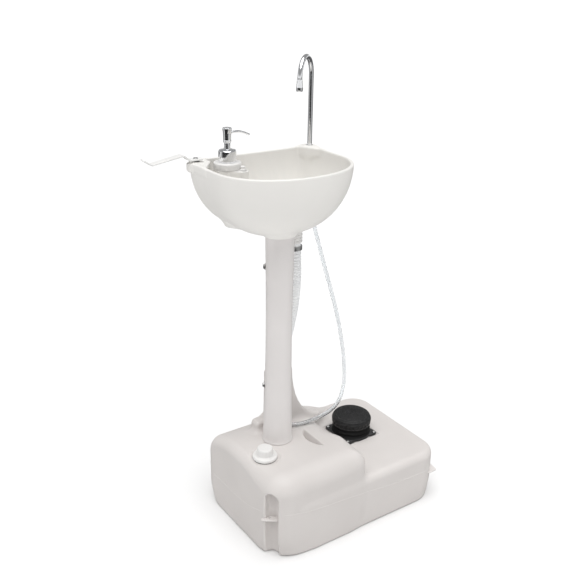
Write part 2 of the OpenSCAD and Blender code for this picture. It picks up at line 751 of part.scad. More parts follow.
module refill_plug() {
    color([0.95, 0.95, 0.94]) translate([refill_x, refill_y, refill_top - 1.8]) {
        cylinder(r = 7, h = 2.4, $fn = round_fn);
        translate([0, 0, 2.4]) cylinder(r1 = 5, r2 = 6, h = 5, $fn = round_fn);
        translate([0, 0, -12]) cylinder(r = 4.9, h = 12.2, $fn = round_fn);
    }
}

module soap_collar() {
    color("silver") translate([soap_x, soap_y, rim_z + 4]) difference() {
        union() {
            cylinder(r = 17.5, h = 20, $fn = round_fn);
            translate([0, 0, 20]) cylinder(r1 = 17.5, r2 = 14, h = 2, $fn = round_fn);
            cylinder(r = 9, h = 26, $fn = round_fn);
        }
        translate([0, 0, -1]) cylinder(r = 13.2, h = 21, $fn = round_fn);
        cylinder(r = 6.4, h = 40, $fn = round_fn);
    }
}

module soap_pump_body() {
    color([0.93, 0.93, 0.92]) translate([soap_x, soap_y, 0]) {
        translate([0, 0, rim_z + 22]) tube(12.8, 6.5, 1.8);
        translate([0, 0, 770]) tube(8, 6.5, rim_z + 23 - 770);
        translate([0, 0, 764]) tube(8, 3.2, 6);
        translate([0, 0, 756]) tube(4.5, 2.6, 8.2);
    }
}

module soap_spring() {
    color("silver") translate([soap_x, soap_y, 773]) coil(4.6, 0.6, 34, 6);
}

module soap_ball() {
    color("silver") translate([soap_x, soap_y, 772.2]) sphere(r = 3.6, $fn = round_fn);
}

module soap_dip_tube() {
    color([0.92, 0.93, 0.93]) translate([soap_x, soap_y, 717]) tube(2.5, 1.6, 42);
}

module soap_stem() {
    color("silver") translate([soap_x, soap_y, 0]) {
        translate([0, 0, 807]) tube(6.4, 2, 8);
        translate([0, 0, 814]) tube(6, 2, 56);
    }
}

module soap_head() {
    color("silver") translate([soap_x, soap_y, rim_z]) {
        difference() {
            union() {
                translate([0, 0, 42]) cylinder(r1 = 7.2, r2 = 8, h = 4, $fn = round_fn);
                translate([0, 0, 46]) cylinder(r = 8, h = 18, $fn = round_fn);
                translate([0, 0, 64]) cylinder(r1 = 8, r2 = 9.2, h = 6, $fn = round_fn);
                translate([0, 0, 70]) cylinder(r1 = 9.2, r2 = 8, h = 1.5, $fn = round_fn);
            }
            translate([0, 0, 41]) cylinder(r = 6.06, h = 6, $fn = round_fn);
        }
        translate([6, 0, 61]) rotate([0, 90, 0]) cylinder(r = 2.6, h = 22, $fn = 32);
        translate([28, 0, 61]) sphere(r = 2.6, $fn = 32);
        translate([28, 0, 61]) rotate([0, 111, 0]) cylinder(r = 2.6, h = 20, $fn = 32);
    }
}

// ---------- towel arm ----------

module towel_arm() {
    z = rim_z + 4.6;
    color([0.93, 0.93, 0.91]) difference() {
        translate([0, arm_y + 9, 0]) rotate([90, 0, 0]) linear_extrude(height = 18)
            polygon([[-252, z], [-252, z + 3], [-281, z + 3], [-293, z + 14], [-298, z + 14],
                [-366, z + 3], [-378, z + 14], [-381, z + 12], [-367, z], [-362, z],
                [-296, z + 11], [-294, z + 11], [-282, z]]);
        translate([arm_x, arm_y, z - 1]) cylinder(r = 2.55, h = 6, $fn = round_fn);
    }
}

module arm_spacer() {
    color([0.25, 0.25, 0.25]) translate([arm_x, arm_y, rim_z + 1.5]) tube(7, 2.6, 3);
}

module arm_screw() {
    color("silver") translate([arm_x, arm_y, 0]) {
        translate([0, 0, rim_z + 1.6]) cylinder(r = 2.5, h = 6.4, $fn = round_fn);
        translate([0, 0, rim_z - 10]) cylinder(r = 1.9, h = 12, $fn = round_fn);
        translate([0, 0, rim_z + 7.7]) cylinder(r1 = 5, r2 = 3.4, h = 2, $fn = round_fn);
    }
}

water_tank();
access_plug();
tank_cap();
cap_gasket();
column();
column_bolts();
column_washers();
column_nuts();
basin();
drain_strainer();
drain_gasket();
drain_nut();
drain_tail();
drain_hose();
drain_clamp();
faucet_body();
faucet_gasket();
faucet_nut();
spout_seal();
faucet_spout();
faucet_nozzle();
supply_hose();
supply_clips();
port_fitting();
port_gasket();
outlet_tube();
pickup_tube();
pickup_filter();
pump_base();
pump_gasket();
pump_screws();
inlet_valve();
outlet_valve();
pump_bellows();
pump_spring();
pump_tread();
soap_bottle();
refill_plug();
soap_collar();
soap_pump_body();
soap_spring();
soap_ball();
soap_dip_tube();
soap_stem();
soap_head();
towel_arm();
arm_spacer();
arm_screw();
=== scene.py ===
"""Portable handwash sink: floor tank, foot pump, column, basin, spout, soap pump and towel arm.

Every shape is made here in metres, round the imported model's places. Lengths in the field
functions and profiles are in millimetres, and MM turns them into metres.
"""

import math

import bpy
import numpy as np
from mathutils import Matrix, Vector
from mathutils.geometry import tessellate_polygon


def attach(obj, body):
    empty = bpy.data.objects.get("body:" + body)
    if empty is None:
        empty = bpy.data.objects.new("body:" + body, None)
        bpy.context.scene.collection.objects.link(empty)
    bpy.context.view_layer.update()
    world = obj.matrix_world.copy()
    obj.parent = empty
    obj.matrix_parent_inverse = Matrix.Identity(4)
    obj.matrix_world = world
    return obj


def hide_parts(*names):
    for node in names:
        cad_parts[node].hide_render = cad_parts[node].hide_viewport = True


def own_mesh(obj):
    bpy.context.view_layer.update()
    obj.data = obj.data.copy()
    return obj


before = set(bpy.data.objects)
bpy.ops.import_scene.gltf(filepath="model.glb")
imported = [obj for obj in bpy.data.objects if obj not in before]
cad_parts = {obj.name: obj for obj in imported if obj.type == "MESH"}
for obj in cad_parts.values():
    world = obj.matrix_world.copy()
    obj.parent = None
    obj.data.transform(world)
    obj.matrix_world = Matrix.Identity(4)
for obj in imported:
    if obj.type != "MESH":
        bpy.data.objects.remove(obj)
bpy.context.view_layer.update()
MM = 0.001
scene = bpy.context.scene

# Places of the main axes, in millimetres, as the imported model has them.
COLUMN = (-127.0, 0.0)
PUMP = (101.0, 18.0)
CAP = (-191.0, -48.0)
PAD = (4.0, 80.0, 181.0)
VENT = (-163.0, -3.0)
PORT = (-93.0, 28.0)
DRAIN = (-65.0, 38.0)
FAUCET = (13.0, 100.0)
SOAP = (-213.0, 60.0)
REFILL = (-194.0, 33.0)
WELL = (-204.0, 47.0)
ARM = (-266.0, 92.0)
RIM = 824.0
HUMP_TOP = 198.0
DECK_TOP = 128.0
COLUMN_TOP = 677.0
HALF_L = 234.0
HALF_W = 158.0

# Degrees about the column and about the drain.
BOLT_TURN = -34.5
CLAMP_TURN = 110


# ---------- camera ----------

CAMERA_PLACE = (-0.9859, -1.2797, 1.1883)
CAMERA_TURN = (34.534, 22.144, 1.0014)


def aim_camera():
    """One camera at CAMERA_PLACE, turned by yaw, pitch and roll in degrees."""
    yaw, pitch, roll = (math.radians(a) for a in CAMERA_TURN)
    ahead = Vector((math.sin(yaw) * math.cos(pitch), math.cos(yaw) * math.cos(pitch), -math.sin(pitch)))
    right = Vector((math.cos(yaw), -math.sin(yaw), 0))
    up = right.cross(ahead)
    across = right * math.cos(roll) + up * math.sin(roll)
    upward = up * math.cos(roll) - right * math.sin(roll)
    data = bpy.data.cameras.new("camera")
    data.lens = 50.0
    data.sensor_width = 36.0
    camera = bpy.data.objects.new("camera", data)
    turn = Matrix((across, upward, -ahead)).transposed().to_4x4()
    camera.matrix_world = Matrix.Translation(CAMERA_PLACE) @ turn
    scene.collection.objects.link(camera)
    scene.camera = camera


aim_camera()


# ---------- materials ----------

def material(name, colours, roughness, grain=(600, 0.05), blotch=7.0, edge=None, smudge=None, **fixed):
    """Procedural surface whose colour and roughness each drift between two values.

    grain is the fine bump's scale and strength, blotch the drift's scale, edge a lighter colour painted
    on convex edges as a highlight, and smudge the scale of a streaky roughness. fixed sets the shader's own
    sockets.
    """
    m = bpy.data.materials.new(name)
    m.use_nodes = True
    nodes, links = m.node_tree.nodes, m.node_tree.links
    shader = nodes["Principled BSDF"]
    place = nodes.new("ShaderNodeTexCoord").outputs["Object"]

    def noise(scale, detail, distortion=0.0):
        n = nodes.new("ShaderNodeTexNoise")
        n.inputs["Scale"].default_value = scale
        n.inputs["Detail"].default_value = detail
        n.inputs["Distortion"].default_value = distortion
        links.new(place, n.inputs["Vector"])
        return n.outputs["Fac"]

    def ramp(fac, low, high, first, second):
        r = nodes.new("ShaderNodeValToRGB")
        r.color_ramp.elements[0].position = low
        r.color_ramp.elements[1].position = high
        r.color_ramp.elements[0].color = (*first, 1)
        r.color_ramp.elements[1].color = (*second, 1)
        links.new(fac, r.inputs["Fac"])
        return r.outputs["Color"]

    drift = noise(blotch, 5, 0.4)
    colour = ramp(drift, 0.3, 0.7, colours[0], colours[1])
    # Convex edges, found by pointiness, are lightened towards edge: a painted highlight, not wear.
    if edge:
        shape = nodes.new("ShaderNodeNewGeometry")
        edge_highlight = ramp(shape.outputs["Pointiness"], 0.52, 0.6, (0, 0, 0), (1, 1, 1))
        mix = nodes.new("ShaderNodeMix")
        mix.data_type = "RGBA"
        mix.inputs["B"].default_value = (*edge, 1)
        links.new(edge_highlight, mix.inputs["Factor"])
        links.new(colour, mix.inputs["A"])
        colour = mix.outputs["Result"]
    links.new(colour, shader.inputs["Base Color"])
    matt = nodes.new("ShaderNodeMapRange")
    matt.inputs["To Min"].default_value = roughness[0]
    matt.inputs["To Max"].default_value = roughness[1]
    links.new(noise(smudge, 6, 1.5) if smudge else drift, matt.inputs["Value"])
    links.new(matt.outputs["Result"], shader.inputs["Roughness"])
    bump = nodes.new("ShaderNodeBump")
    bump.inputs["Strength"].default_value = grain[1]
    bump.inputs["Distance"].default_value = 0.001
    links.new(noise(grain[0], 3), bump.inputs["Height"])
    links.new(bump.outputs["Normal"], shader.inputs["Normal"])
    for socket, value in fixed.items():
        shader.inputs[socket.replace("_", " ")].default_value = value
    return m


# Each edge colour here is a painted highlight laid on the material's convex edges.
MATERIALS = {
    "tank_plastic": material(
        "moulded_tank_plastic", ((0.655, 0.622, 0.602), (0.695, 0.662, 0.642)), (0.42, 0.56),
        grain=(420, 0.10), edge=(0.80, 0.77, 0.755)),
    "column_plastic": material(
        "column_plastic", ((0.755, 0.725, 0.712), (0.785, 0.755, 0.742)), (0.38, 0.50), grain=(500, 0.06)),
    "basin_plastic": material(
        "moulded_basin_plastic", ((0.815, 0.800, 0.770), (0.845, 0.830, 0.800)), (0.36, 0.48),
        grain=(480, 0.06), edge=(0.86, 0.85, 0.83)),
    "white_plastic": material(
        "white_plastic", ((0.775, 0.765, 0.750), (0.815, 0.805, 0.790)), (0.28, 0.38),
        grain=(700, 0.04), blotch=20),
    "chrome": material(
        "chrome", ((0.86, 0.87, 0.89), (0.92, 0.93, 0.95)), (0.08, 0.17),
        grain=(900, 0.01), blotch=30, smudge=60, Metallic=1.0),
    "steel": material(
        "steel", ((0.52, 0.52, 0.52), (0.62, 0.62, 0.61)), (0.28, 0.42),
        grain=(1400, 0.05), blotch=60, smudge=220, Metallic=1.0),
    "black_rubber": material(
        "black_rubber", ((0.006, 0.006, 0.006), (0.012, 0.012, 0.012)), (0.55, 0.75),
        grain=(1300, 0.25), blotch=30, Specular_IOR_Level=0.15),
    "black_plastic": material(
        "black_plastic", ((0.003, 0.003, 0.003), (0.040, 0.040, 0.041)), (0.38, 0.52),
        grain=(1500, 0.15), blotch=330, edge=(0.085, 0.085, 0.086), Specular_IOR_Level=0.20),
    "seal_rubber": material(
        "seal_rubber", ((0.040, 0.040, 0.040), (0.060, 0.060, 0.060)), (0.6, 0.8),
        grain=(1600, 0.2), blotch=50),
    "clear_tube": material(
        "clear_tube", ((0.90, 0.92, 0.93), (0.95, 0.96, 0.97)), (0.05, 0.14),
        grain=(300, 0.03), blotch=40, Transmission_Weight=0.92, IOR=1.42),
    "hose_plastic": material(
        "hose_plastic", ((0.90, 0.91, 0.92), (0.94, 0.95, 0.95)), (0.30, 0.42),
        grain=(500, 0.05), blotch=25, IOR=1.45),
    "arm_paint": material(
        "arm_paint", ((0.800, 0.795, 0.780), (0.840, 0.835, 0.820)), (0.30, 0.42),
        grain=(900, 0.05), blotch=25, edge=(0.87, 0.87, 0.86)),
}


# ---------- mesh helpers ----------

def piece(name, verts, faces, slot, body="stand", replaces=(), crease=35):
    """A mesh in metres that rides on body, with its slot's material.

    Edges sharper than crease degrees stay sharp.
    """
    mesh = bpy.data.meshes.new(name)
    mesh.from_pydata([tuple(v) for v in verts], [], [tuple(int(i) for i in f) for f in faces])
    mesh.validate()
    mesh.update()
    mesh.shade_smooth()
    if crease:
        mesh.set_sharp_from_angle(angle=math.radians(crease))
    mesh.materials.append(MATERIALS[slot])
    obj = bpy.data.objects.new(name, mesh)
    scene.collection.objects.link(obj)
    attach(obj, body)
    if replaces:
        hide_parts(*replaces)
    return obj


def joined(parts):
    """Several (verts, faces) as one."""
    verts, faces = [], []
    for v, f in parts:
        start = len(verts)
        verts.extend(tuple(q) for q in v)
        faces.extend([start + i for i in face] for face in f)
    return verts, faces


def moved(part, matrix):
    verts, faces = part
    return [tuple(matrix @ Vector(v)) for v in verts], faces


def turned_at(place, degrees, axis="Z"):
    """A turn about an axis, then a move to a place in mm."""
    return Matrix.Translation(Vector(place) * MM) @ Matrix.Rotation(math.radians(degrees), 4, axis)


def ring_quads(starts, n, flip=False):
    """Quads between rings of n vertices whose first vertices have these numbers."""
    faces = [(a + k, a + (k + 1) % n, b + (k + 1) % n, b + k)
             for a, b in zip(starts, starts[1:]) for k in range(n)]
    return [f[::-1] for f in faces] if flip else faces


def stack(rings):
    """(verts, faces) of the solid through rings with the same count of points, its ends capped."""
    n, count = len(rings[0]), len(rings)
    faces = ring_quads([i * n for i in range(count)], n)
    faces += [tuple(range(n - 1, -1, -1)), tuple(range((count - 1) * n, count * n))]
    return [v for ring in rings for v in ring], faces


def soften(points, radius, closed=True, steps=4):
    """The outline with its corners rounded. radius is one number, or one for each point."""
    n = len(points)
    out = []
    for i, p in enumerate(points):
        r = radius[i] if hasattr(radius, "__len__") else radius
        if (not closed and i in (0, n - 1)) or r <= 0:
            out.append(tuple(p))
            continue
        p = np.array(p, float)
        before, after = np.array(points[i - 1], float) - p, np.array(points[(i + 1) % n], float) - p
        lb, la = np.linalg.norm(before), np.linalg.norm(after)
        ub, ua = before / lb, after / la
        angle = math.acos(max(-1.0, min(1.0, float(ub @ ua))))
        if angle > math.radians(176):
            out.append(tuple(p))
            continue
        reach = min(r / math.tan(angle / 2), 0.48 * lb, 0.48 * la)
        start, end = p + ub * reach, p + ua * reach
        for k in range(steps + 1):
            t = k / steps
            out.append(tuple((1 - t) ** 2 * start + 2 * t * (1 - t) * p + t * t * end))
    return out


def lathe(profile, centre=(0, 0), segments=96, shape=None, corners=None, base=0):
    """(verts, faces) turned from points of radius and height over base, in mm.

    A profile that ends on the axis is open, and any other closes on itself into a ring.
    corners are the radii that soften takes, and shape(angle, radius, height) may change a radius.
    """
    closed = min(profile[0][0], profile[-1][0]) > 0
    if corners is not None:
        profile = soften(profile, corners, closed)
    verts, rings = [], []
    for r, h in profile:
        ring = []
        for k in range(segments if r > 1e-6 else 1):
            a = 2 * math.pi * k / segments
            q = shape(a, r, h) if shape else r
            ring.append(len(verts))
            verts.append(((centre[0] + q * math.cos(a)) * MM, (centre[1] + q * math.sin(a)) * MM,
                          (base + h) * MM))
        rings.append(ring if len(ring) > 1 else ring * segments)
    faces = []
    for low, high in zip(rings, rings[1:] + rings[:1] if closed else rings[1:]):
        for k in range(segments):
            j = (k + 1) % segments
            face = tuple(dict.fromkeys((low[k], low[j], high[j], high[k])))
            if len(face) > 2:
                faces.append(face)
    return verts, faces


def catmull(points, steps):
    """The same smooth curve as the model's source draws through the points."""
    out = []
    n = len(points)
    for i in range(n - 1):
        a, b = np.array(points[max(i - 1, 0)], float), np.array(points[i], float)
        c, d = np.array(points[i + 1], float), np.array(points[min(i + 2, n - 1)], float)
        for k in range(steps):
            t = k / steps
            out.append(0.5 * (2 * b + (c - a) * t + (2 * a - 5 * b + 4 * c - d) * t * t
                              + (3 * b - a - 3 * c + d) * t ** 3))
    out.append(np.array(points[-1], float))
    return np.array(out)


def resample(points, spacing):
    """Points along the same line, a fixed distance apart."""
    points = np.array(points, float)
    along = np.concatenate([[0], np.cumsum(np.linalg.norm(np.diff(points, axis=0), axis=1))])
    count = max(2, int(round(along[-1] / spacing)) + 1)
    at = np.linspace(0, along[-1], count)
    return np.stack([np.interp(at, along, points[:, i]) for i in range(3)], axis=1), at


def frames(points, side):
    """Tangent and two sides at each point, each turned as little as possible from the one before."""
    out = []
    side = np.array(side, float)
    for i in range(len(points)):
        t = points[min(i + 1, len(points) - 1)] - points[max(i - 1, 0)]
        t = t / np.linalg.norm(t)
        side = side - t * (side @ t)
        side = side / np.linalg.norm(side)
        out.append((t, side, np.cross(t, side)))
    return out


def sweep(points, sections, side=(1, 0, 0)):
    """(verts, faces) through a closed (a, b) section at each point, in mm, its ends capped."""
    points = np.array(points, float)
    return stack([[tuple((p + a * s + b * u) * MM) for a, b in section]
                  for p, (_, s, u), section in zip(points, frames(points, side), sections)])


def circle(r, n=24):
    return [(r * math.cos(2 * math.pi * k / n), r * math.sin(2 * math.pi * k / n)) for k in range(n)]


def round_tube(points, radii, n=24, side=(1, 0, 0)):
    return sweep(points, [circle(r, n) for r in radii], side)


def pipe(points, outer, inner, n=32, side=(1, 0, 0)):
    """Hollow tube with open ends: outer and inner are radii at each point."""
    points = np.array(points, float)
    places = frames(points, side)
    verts = [tuple((p + a * s + b * u) * MM) for radii in (outer, inner)
             for p, (_, s, u), r in zip(points, places, radii) for a, b in circle(r, n)]
    count = len(points)
    outside, inside = ([(first + i) * n for i in range(count)] for first in (0, count))
    faces = ring_quads(outside, n) + ring_quads(inside, n, flip=True)
    faces += ring_quads([outside[0], inside[0]], n, flip=True) + ring_quads([outside[-1], inside[-1]], n)
    return verts, faces


def coil(centre, radius, wire, low, height, steps, n):
    """Spring of six turns that stands on low, in mm, with its wire's radius and steps for each turn."""
    turns = 6
    line = [(centre[0] + radius * math.cos(a), centre[1] + radius * math.sin(a),
             low + wire + (height - 2 * wire) * a / (2 * math.pi * turns))
            for a in np.linspace(0, 2 * math.pi * turns, turns * steps)]
    return round_tube(line, [wire] * len(line), n=n)


def slab(outline, low, high, holes=(), edge=0.5):
    """Flat plate in XY between two heights, in mm, with holes and small rounded edges."""
    verts, faces, bottoms, tops = [], [], [], []
    loops = [np.array(loop, float) for loop in (outline, *holes)]
    for i, loop in enumerate(loops):
        before, after = loop - np.roll(loop, 1, axis=0), np.roll(loop, -1, axis=0) - loop
        normal = np.stack([before[:, 1] + after[:, 1], -before[:, 0] - after[:, 0]], axis=1)
        normal /= np.linalg.norm(normal, axis=1)[:, None] + 1e-9
        area = np.sum(loop[:, 0] * np.roll(loop[:, 1], -1) - np.roll(loop[:, 0], -1) * loop[:, 1])
        flip = (area > 0) != (i == 0)
        inward = normal if flip else -normal
        starts = []
        for z, amount in ((low, edge), (low + edge, 0), (high - edge, 0), (high, edge)):
            starts.append(len(verts))
            verts.extend((x * MM, y * MM, z * MM) for x, y in loop + inward * amount)
        faces += ring_quads(starts, len(loop), flip)
        bottoms.extend(starts[0] + k for k in range(len(loop)))
        tops.extend(starts[-1] + k for k in range(len(loop)))
    flat = [[Vector((x, y, 0)) for x, y in loop] for loop in loops]
    points = [v for loop in flat for v in loop]
    for triangle in tessellate_polygon(flat):
        a, b, c = (points[t] for t in triangle)
        order = triangle if (b - a).cross(c - a).z > 0 else triangle[::-1]
        faces.append(tuple(tops[t] for t in order))
        faces.append(tuple(bottoms[t] for t in order[::-1]))
    return verts, faces


# ---------- fields, for the moulded bodies ----------

def length2(a, b):
    return np.sqrt(a * a + b * b)


def meet(a, b, r):
    """What is in both, its edge rounded by r."""
    return np.minimum(np.maximum(a, b), -r) + length2(np.maximum(a + r, 0), np.maximum(b + r, 0))


def join(a, b, r):
    """What is in either, the corner between them filled by r."""
    return np.maximum(np.minimum(a, b), r) - length2(np.maximum(r - a, 0), np.maximum(r - b, 0))


def cut(a, b, r):
    return meet(a, -b, r)


def step_up(v, low, high):
    t = np.clip((v - low) / (high - low), 0, 1)
    return t * t * (3 - 2 * t)


def round_post(x, y, centre, r):
    return length2(x - centre[0], y - centre[1]) - r


def box_plan(x, y, half_x, half_y, r):
    qx, qy = np.abs(x) - half_x + r, np.abs(y) - half_y + r
    return length2(np.maximum(qx, 0), np.maximum(qy, 0)) + np.minimum(np.maximum(qx, qy), 0) - r


def slope_plane(x, z, x0, z0, x1, z1):
    """Height above the line through two points, measured square to it."""
    run, rise = x1 - x0, z1 - z0
    return ((z - z0) * run - (x - x0) * rise) / math.hypot(run, rise)


def polygon_field(x, y, points):
    """Distance to a closed outline, negative inside."""
    best, inside = None, None
    n = len(points)
    for i in range(n):
        (ax, ay), (bx, by) = points[i], points[(i + 1) % n]
        ex, ey = bx - ax, by - ay
        wx, wy = x - ax, y - ay
        t = np.clip((wx * ex + wy * ey) / (ex * ex + ey * ey), 0, 1)
        d = length2(wx - t * ex, wy - t * ey)
        best = d if best is None else np.minimum(best, d)
        side = ex * wy - ey * wx
        cross = ((y >= ay) & (y < by) & (side > 0)) | ((y < ay) & (y >= by) & (side < 0))
        inside = cross if inside is None else inside ^ cross
    return np.where(inside, -best, best)


def net(field, low, high, step, rounds=2):
    """(verts in mm, quads) of the surface where field is 0, on a grid, then moved onto it."""
    axes = [np.arange(a, b + step, step, dtype=np.float32) for a, b in zip(low, high)]
    values = field(*np.meshgrid(*axes, indexing="ij", sparse=True)).astype(np.float32)
    values = np.broadcast_to(values, [len(a) for a in axes])
    inside = values < 0
    corners = [(i, j, k) for i in (0, 1) for j in (0, 1) for k in (0, 1)]
    count = sum(inside[tuple(slice(c, c + n - 1) for c, n in zip(corner, inside.shape))].astype(np.int8)
                for corner in corners)
    cells = np.argwhere((count > 0) & (count < 8))
    number = np.full(count.shape, -1, dtype=np.int64)
    number[tuple(cells.T)] = np.arange(len(cells))

    # Each cell's vertex is the mean of the places where the surface crosses its edges.
    total, hits = np.zeros((len(cells), 3)), np.zeros(len(cells))
    for corner in corners:
        for axis in (i for i in range(3) if not corner[i]):
            way = np.eye(3, dtype=int)[axis]
            a, b = values[tuple((cells + corner).T)], values[tuple((cells + corner + way).T)]
            hit = (a < 0) != (b < 0)
            t = np.where(hit, a / np.where(hit, a - b, 1), 0)
            total += (corner + way * t[:, None]) * hit[:, None]
            hits += hit
    verts = np.array(low) + (cells + total / hits[:, None]) * step

    # Each crossed grid edge gives a quad between the four cells round it.
    quads = []
    for axis in range(3):
        u, v = (axis + 1) % 3, (axis + 2) % 3
        where = np.argwhere(np.diff(inside, axis=axis))
        across = where[:, [u, v]]
        where = where[((across > 0) & (across < np.array(inside.shape)[[u, v]] - 1)).all(axis=1)]
        around = []
        for du, dv in ((-1, -1), (0, -1), (0, 0), (-1, 0)):
            near = where.copy()
            near[:, u] += du
            near[:, v] += dv
            around.append(number[tuple(near.T)])
        quad = np.stack(around, axis=1)
        flip = ~inside[tuple(where.T)]
        quad[flip] = quad[flip][:, ::-1]
        quads.append(quad)
    quads = np.concatenate(quads)

    # Vertices relax towards their neighbours' mean, then slide down the field's slope onto 0.
    edges = np.concatenate([quads[:, [k, (k + 1) % 4]] for k in range(4)])
    ends = np.concatenate([edges, edges[:, ::-1]])
    degree = np.bincount(ends[:, 0], minlength=len(verts))[:, None]
    h = 0.25
    for settle in range(3 * rounds):
        if settle % 3 == 0:
            mean = np.stack([np.bincount(ends[:, 0], weights=verts[ends[:, 1], i], minlength=len(verts))
                             for i in range(3)], axis=1) / degree
            verts = 0.5 * verts + 0.5 * mean
            continue
        slope = np.stack([(field(*(verts + h * e).T) - field(*(verts - h * e).T)) / (2 * h)
                          for e in np.eye(3)], axis=1)
        size = np.maximum(np.sum(slope ** 2, axis=1), 0.2)
        move = slope * (field(*verts.T) / size)[:, None]
        far = np.linalg.norm(move, axis=1)[:, None]
        verts = verts - move * np.minimum(1, step / np.maximum(far, 1e-6))
    return verts, quads


# ---------- cords ----------

DRAIN_ROUTE = [
    (-65, 38, 639.6), (-64.5, 38, 610), (-62, 39, 570), (-62, 41, 530), (-64, 44, 490),
    (-68, 49, 450), (-71, 58, 412), (-71, 74, 378), (-67, 91, 346), (-60, 106, 312),
    (-52, 120, 280), (-42, 134, 254), (-31, 149, 234), (-21, 164, 214), (-13, 176, 186),
    (-9, 182, 150), (-7, 185, 110), (-4, 190, 72), (6, 200, 36), (28, 214, 18),
    (60, 223, 15.2), (100, 226, 15.2), (140, 224, 15.2), (176, 217, 15.2)]
SUPPLY_ROUTE = [
    (13, 100, 767.7), (14, 100, 745), (19, 99, 700), (28, 97, 650), (43, 96, 600),
    (60, 95, 545), (76, 94, 495), (92, 93, 445), (105, 91, 395), (115, 88, 345),
    (120, 81, 290), (115, 70, 246), (99, 56, 220), (74, 39, 208), (44, 24, 204.5),
    (12, 15, 203.5), (-20, 11, 203.5), (-46, 11, 203.5), (-66, 16, 203.7), (-80.2, 24.2, 204)]


def corrugated_hose():
    """Drain hose: plain cuffs at both ends and rings 7 mm apart between them."""
    line = catmull(DRAIN_ROUTE, 8)
    points, at = resample(line, 1.0)
    total = at[-1]
    cuff, pitch = 22.0, 7.0
    wave = 0.5 - 0.5 * np.cos(2 * np.pi * (at - cuff) / pitch)
    outer = 13.3 + 1.7 * np.clip(1.6 * wave - 0.3, 0, 1)
    plain = (at < cuff) | (at > total - cuff)
    outer = np.where(plain, 14.6, outer)
    verts, faces = pipe(points, outer, outer - 1.1, n=28)
    hose = piece("drain_hose_corrugated", verts, faces, "hose_plastic", replaces=["drain_hose"], crease=0)


def clear_hose():
    line = catmull(SUPPLY_ROUTE, 8)
    points, _ = resample(line, 4.0)
    verts, faces = pipe(points, [4.5] * len(points), [3.1] * len(points), n=24)
    hose = piece("supply_hose_clear", verts, faces, "clear_tube", replaces=["supply_hose"], crease=50)


corrugated_hose()
clear_hose()


# ---------- tank ----------

CORNER, FLOOR_CORNER, DRAFT = 52.0, 28.0, 50.0
HUMP_END, DECK_START = 14.0, -200.0
ROOF_RUN, ROOF_FALL = 148.0, 89.0
TANK_WALL = 3.4
BUTTRESS = soften(
    [(-157, 182), (-155.5, 214), (-151, 220.5), (-134, 222), (-123, 230), (-122, 334), (-114, 345),
     (-78, 348), (-62, 344)]
    + [(24 - 82 * math.cos(a), 334 - 140 * math.sin(a)) for a in np.linspace(0, math.pi / 2, 10)]
    + [(24, 176), (-157, 176)], 3)
GROOVES = [(-222.7, -126.3, 15.4, 146), (-213, 148, 21, 146), (236, -118, 17, 92), (236, 118, 17, 92)]


def tank_body(x, y, z):
    """The hump, with its roof falling in a quarter ellipse to the back, the deck and the buttress."""
    spread = FLOOR_CORNER * np.clip(1 - z / DRAFT, 0, 1) ** 1.4
    middle = (HUMP_END - HALF_L) / 2
    hump = box_plan(x - middle, y, HUMP_END - middle, HALF_W, np.where(x < middle, CORNER, 26) + spread)
    back, low = HALF_W - ROOF_RUN, HUMP_TOP - ROOF_FALL
    p, q = np.maximum(y - back, 0) / ROOF_RUN, np.maximum(z - low, 0) / ROOF_FALL
    k = np.sqrt(p * p + q * q) + 1e-6
    roof = (k - 1) * k / np.sqrt((p / ROOF_RUN) ** 2 + (q / ROOF_FALL) ** 2 + 1e-12)
    roof = np.where(y < back, z - HUMP_TOP, np.where(z < low, y - HALF_W, roof))
    edge = 24 + 20 * step_up(-y, 10, 110) * (1 - 0.35 * step_up(x, -60, 14))
    edge = edge + 34 * step_up(x, -72, -46) * step_up(y, -75, -15) * step_up(-y, -62, -34)
    tank = meet(hump, roof, edge)
    middle = (HALF_L + DECK_START) / 2
    deck = box_plan(x - middle, y, HALF_L - middle, HALF_W,
                    CORNER + spread * (1 - 0.5 * step_up(x, 0, 100)))
    deck = meet(deck, z - DECK_TOP, 18)
    tank = join(tank, deck, 10)
    behind = meet(slope_plane(x, z, -60, 190, 30, 172), slope_plane(x, z, 30, 172, 118, 126), 20)
    behind = meet(behind, slope_plane(x, -y, -60, -50, 30, -70), 14)
    behind = meet(behind, slope_plane(x, -y, 30, -70, 118, -120), 14)
    behind = meet(behind, slope_plane(x, y, -60, 112, 30, 142), 16)
    behind = meet(behind, y - 142, 16)
    behind = meet(behind, np.maximum(np.maximum(x - 119, -60 - x), 20 - z), 10)
    tank = join(tank, behind, 16)
    fin = meet(polygon_field(x, z, BUTTRESS), np.abs(y - 56) - 14, 7)
    return join(tank, fin, 16)


def tank_field(x, y, z):
    tank = tank_body(x, y, z)
    for gx, gy, r, top in GROOVES:
        gap = round_post(x, y, (gx, gy), 0)
        tank = cut(tank, np.where(z > top, length2(gap, z - top), gap) - r, 5)
    return meet(tank, -z, 7)


def tank_pockets(x, y, z, tank):
    """The finger slot, and the seats of the cap, the disc, the pump and the vent."""
    moon = meet(round_post(x, y, (-24, -43), 52), np.abs(y + 43) - 42, 2)
    wedge = np.maximum(slope_plane(x, -z, -76, -160, -56, -199), x + 56)
    tank = cut(tank, meet(moon, wedge, 1), 1.2)
    tank = cut(tank, meet(round_post(x, y, CAP, 33), 195 - z, 2.5), 2)
    tank = cut(tank, np.maximum(round_post(x, y, CAP, 18.6), 150 - z), 1)
    tank = cut(tank, meet(round_post(x, y, PAD, 20.5), PAD[2] - z, 1), 1.5)
    pump = np.maximum(np.abs(x - PUMP[0]), np.abs(y - PUMP[1])) - 48
    tank = cut(tank, meet(pump, 126 - z, 1), 1)
    tank = cut(tank, np.maximum(round_post(x, y, PUMP, 35), 93 - z), 1)
    return cut(tank, np.maximum(round_post(x, y, VENT, 4.4), 190 - z), 0.5)


def tank_skin(x, y, z):
    return tank_pockets(x, y, z, tank_field(x, y, z))


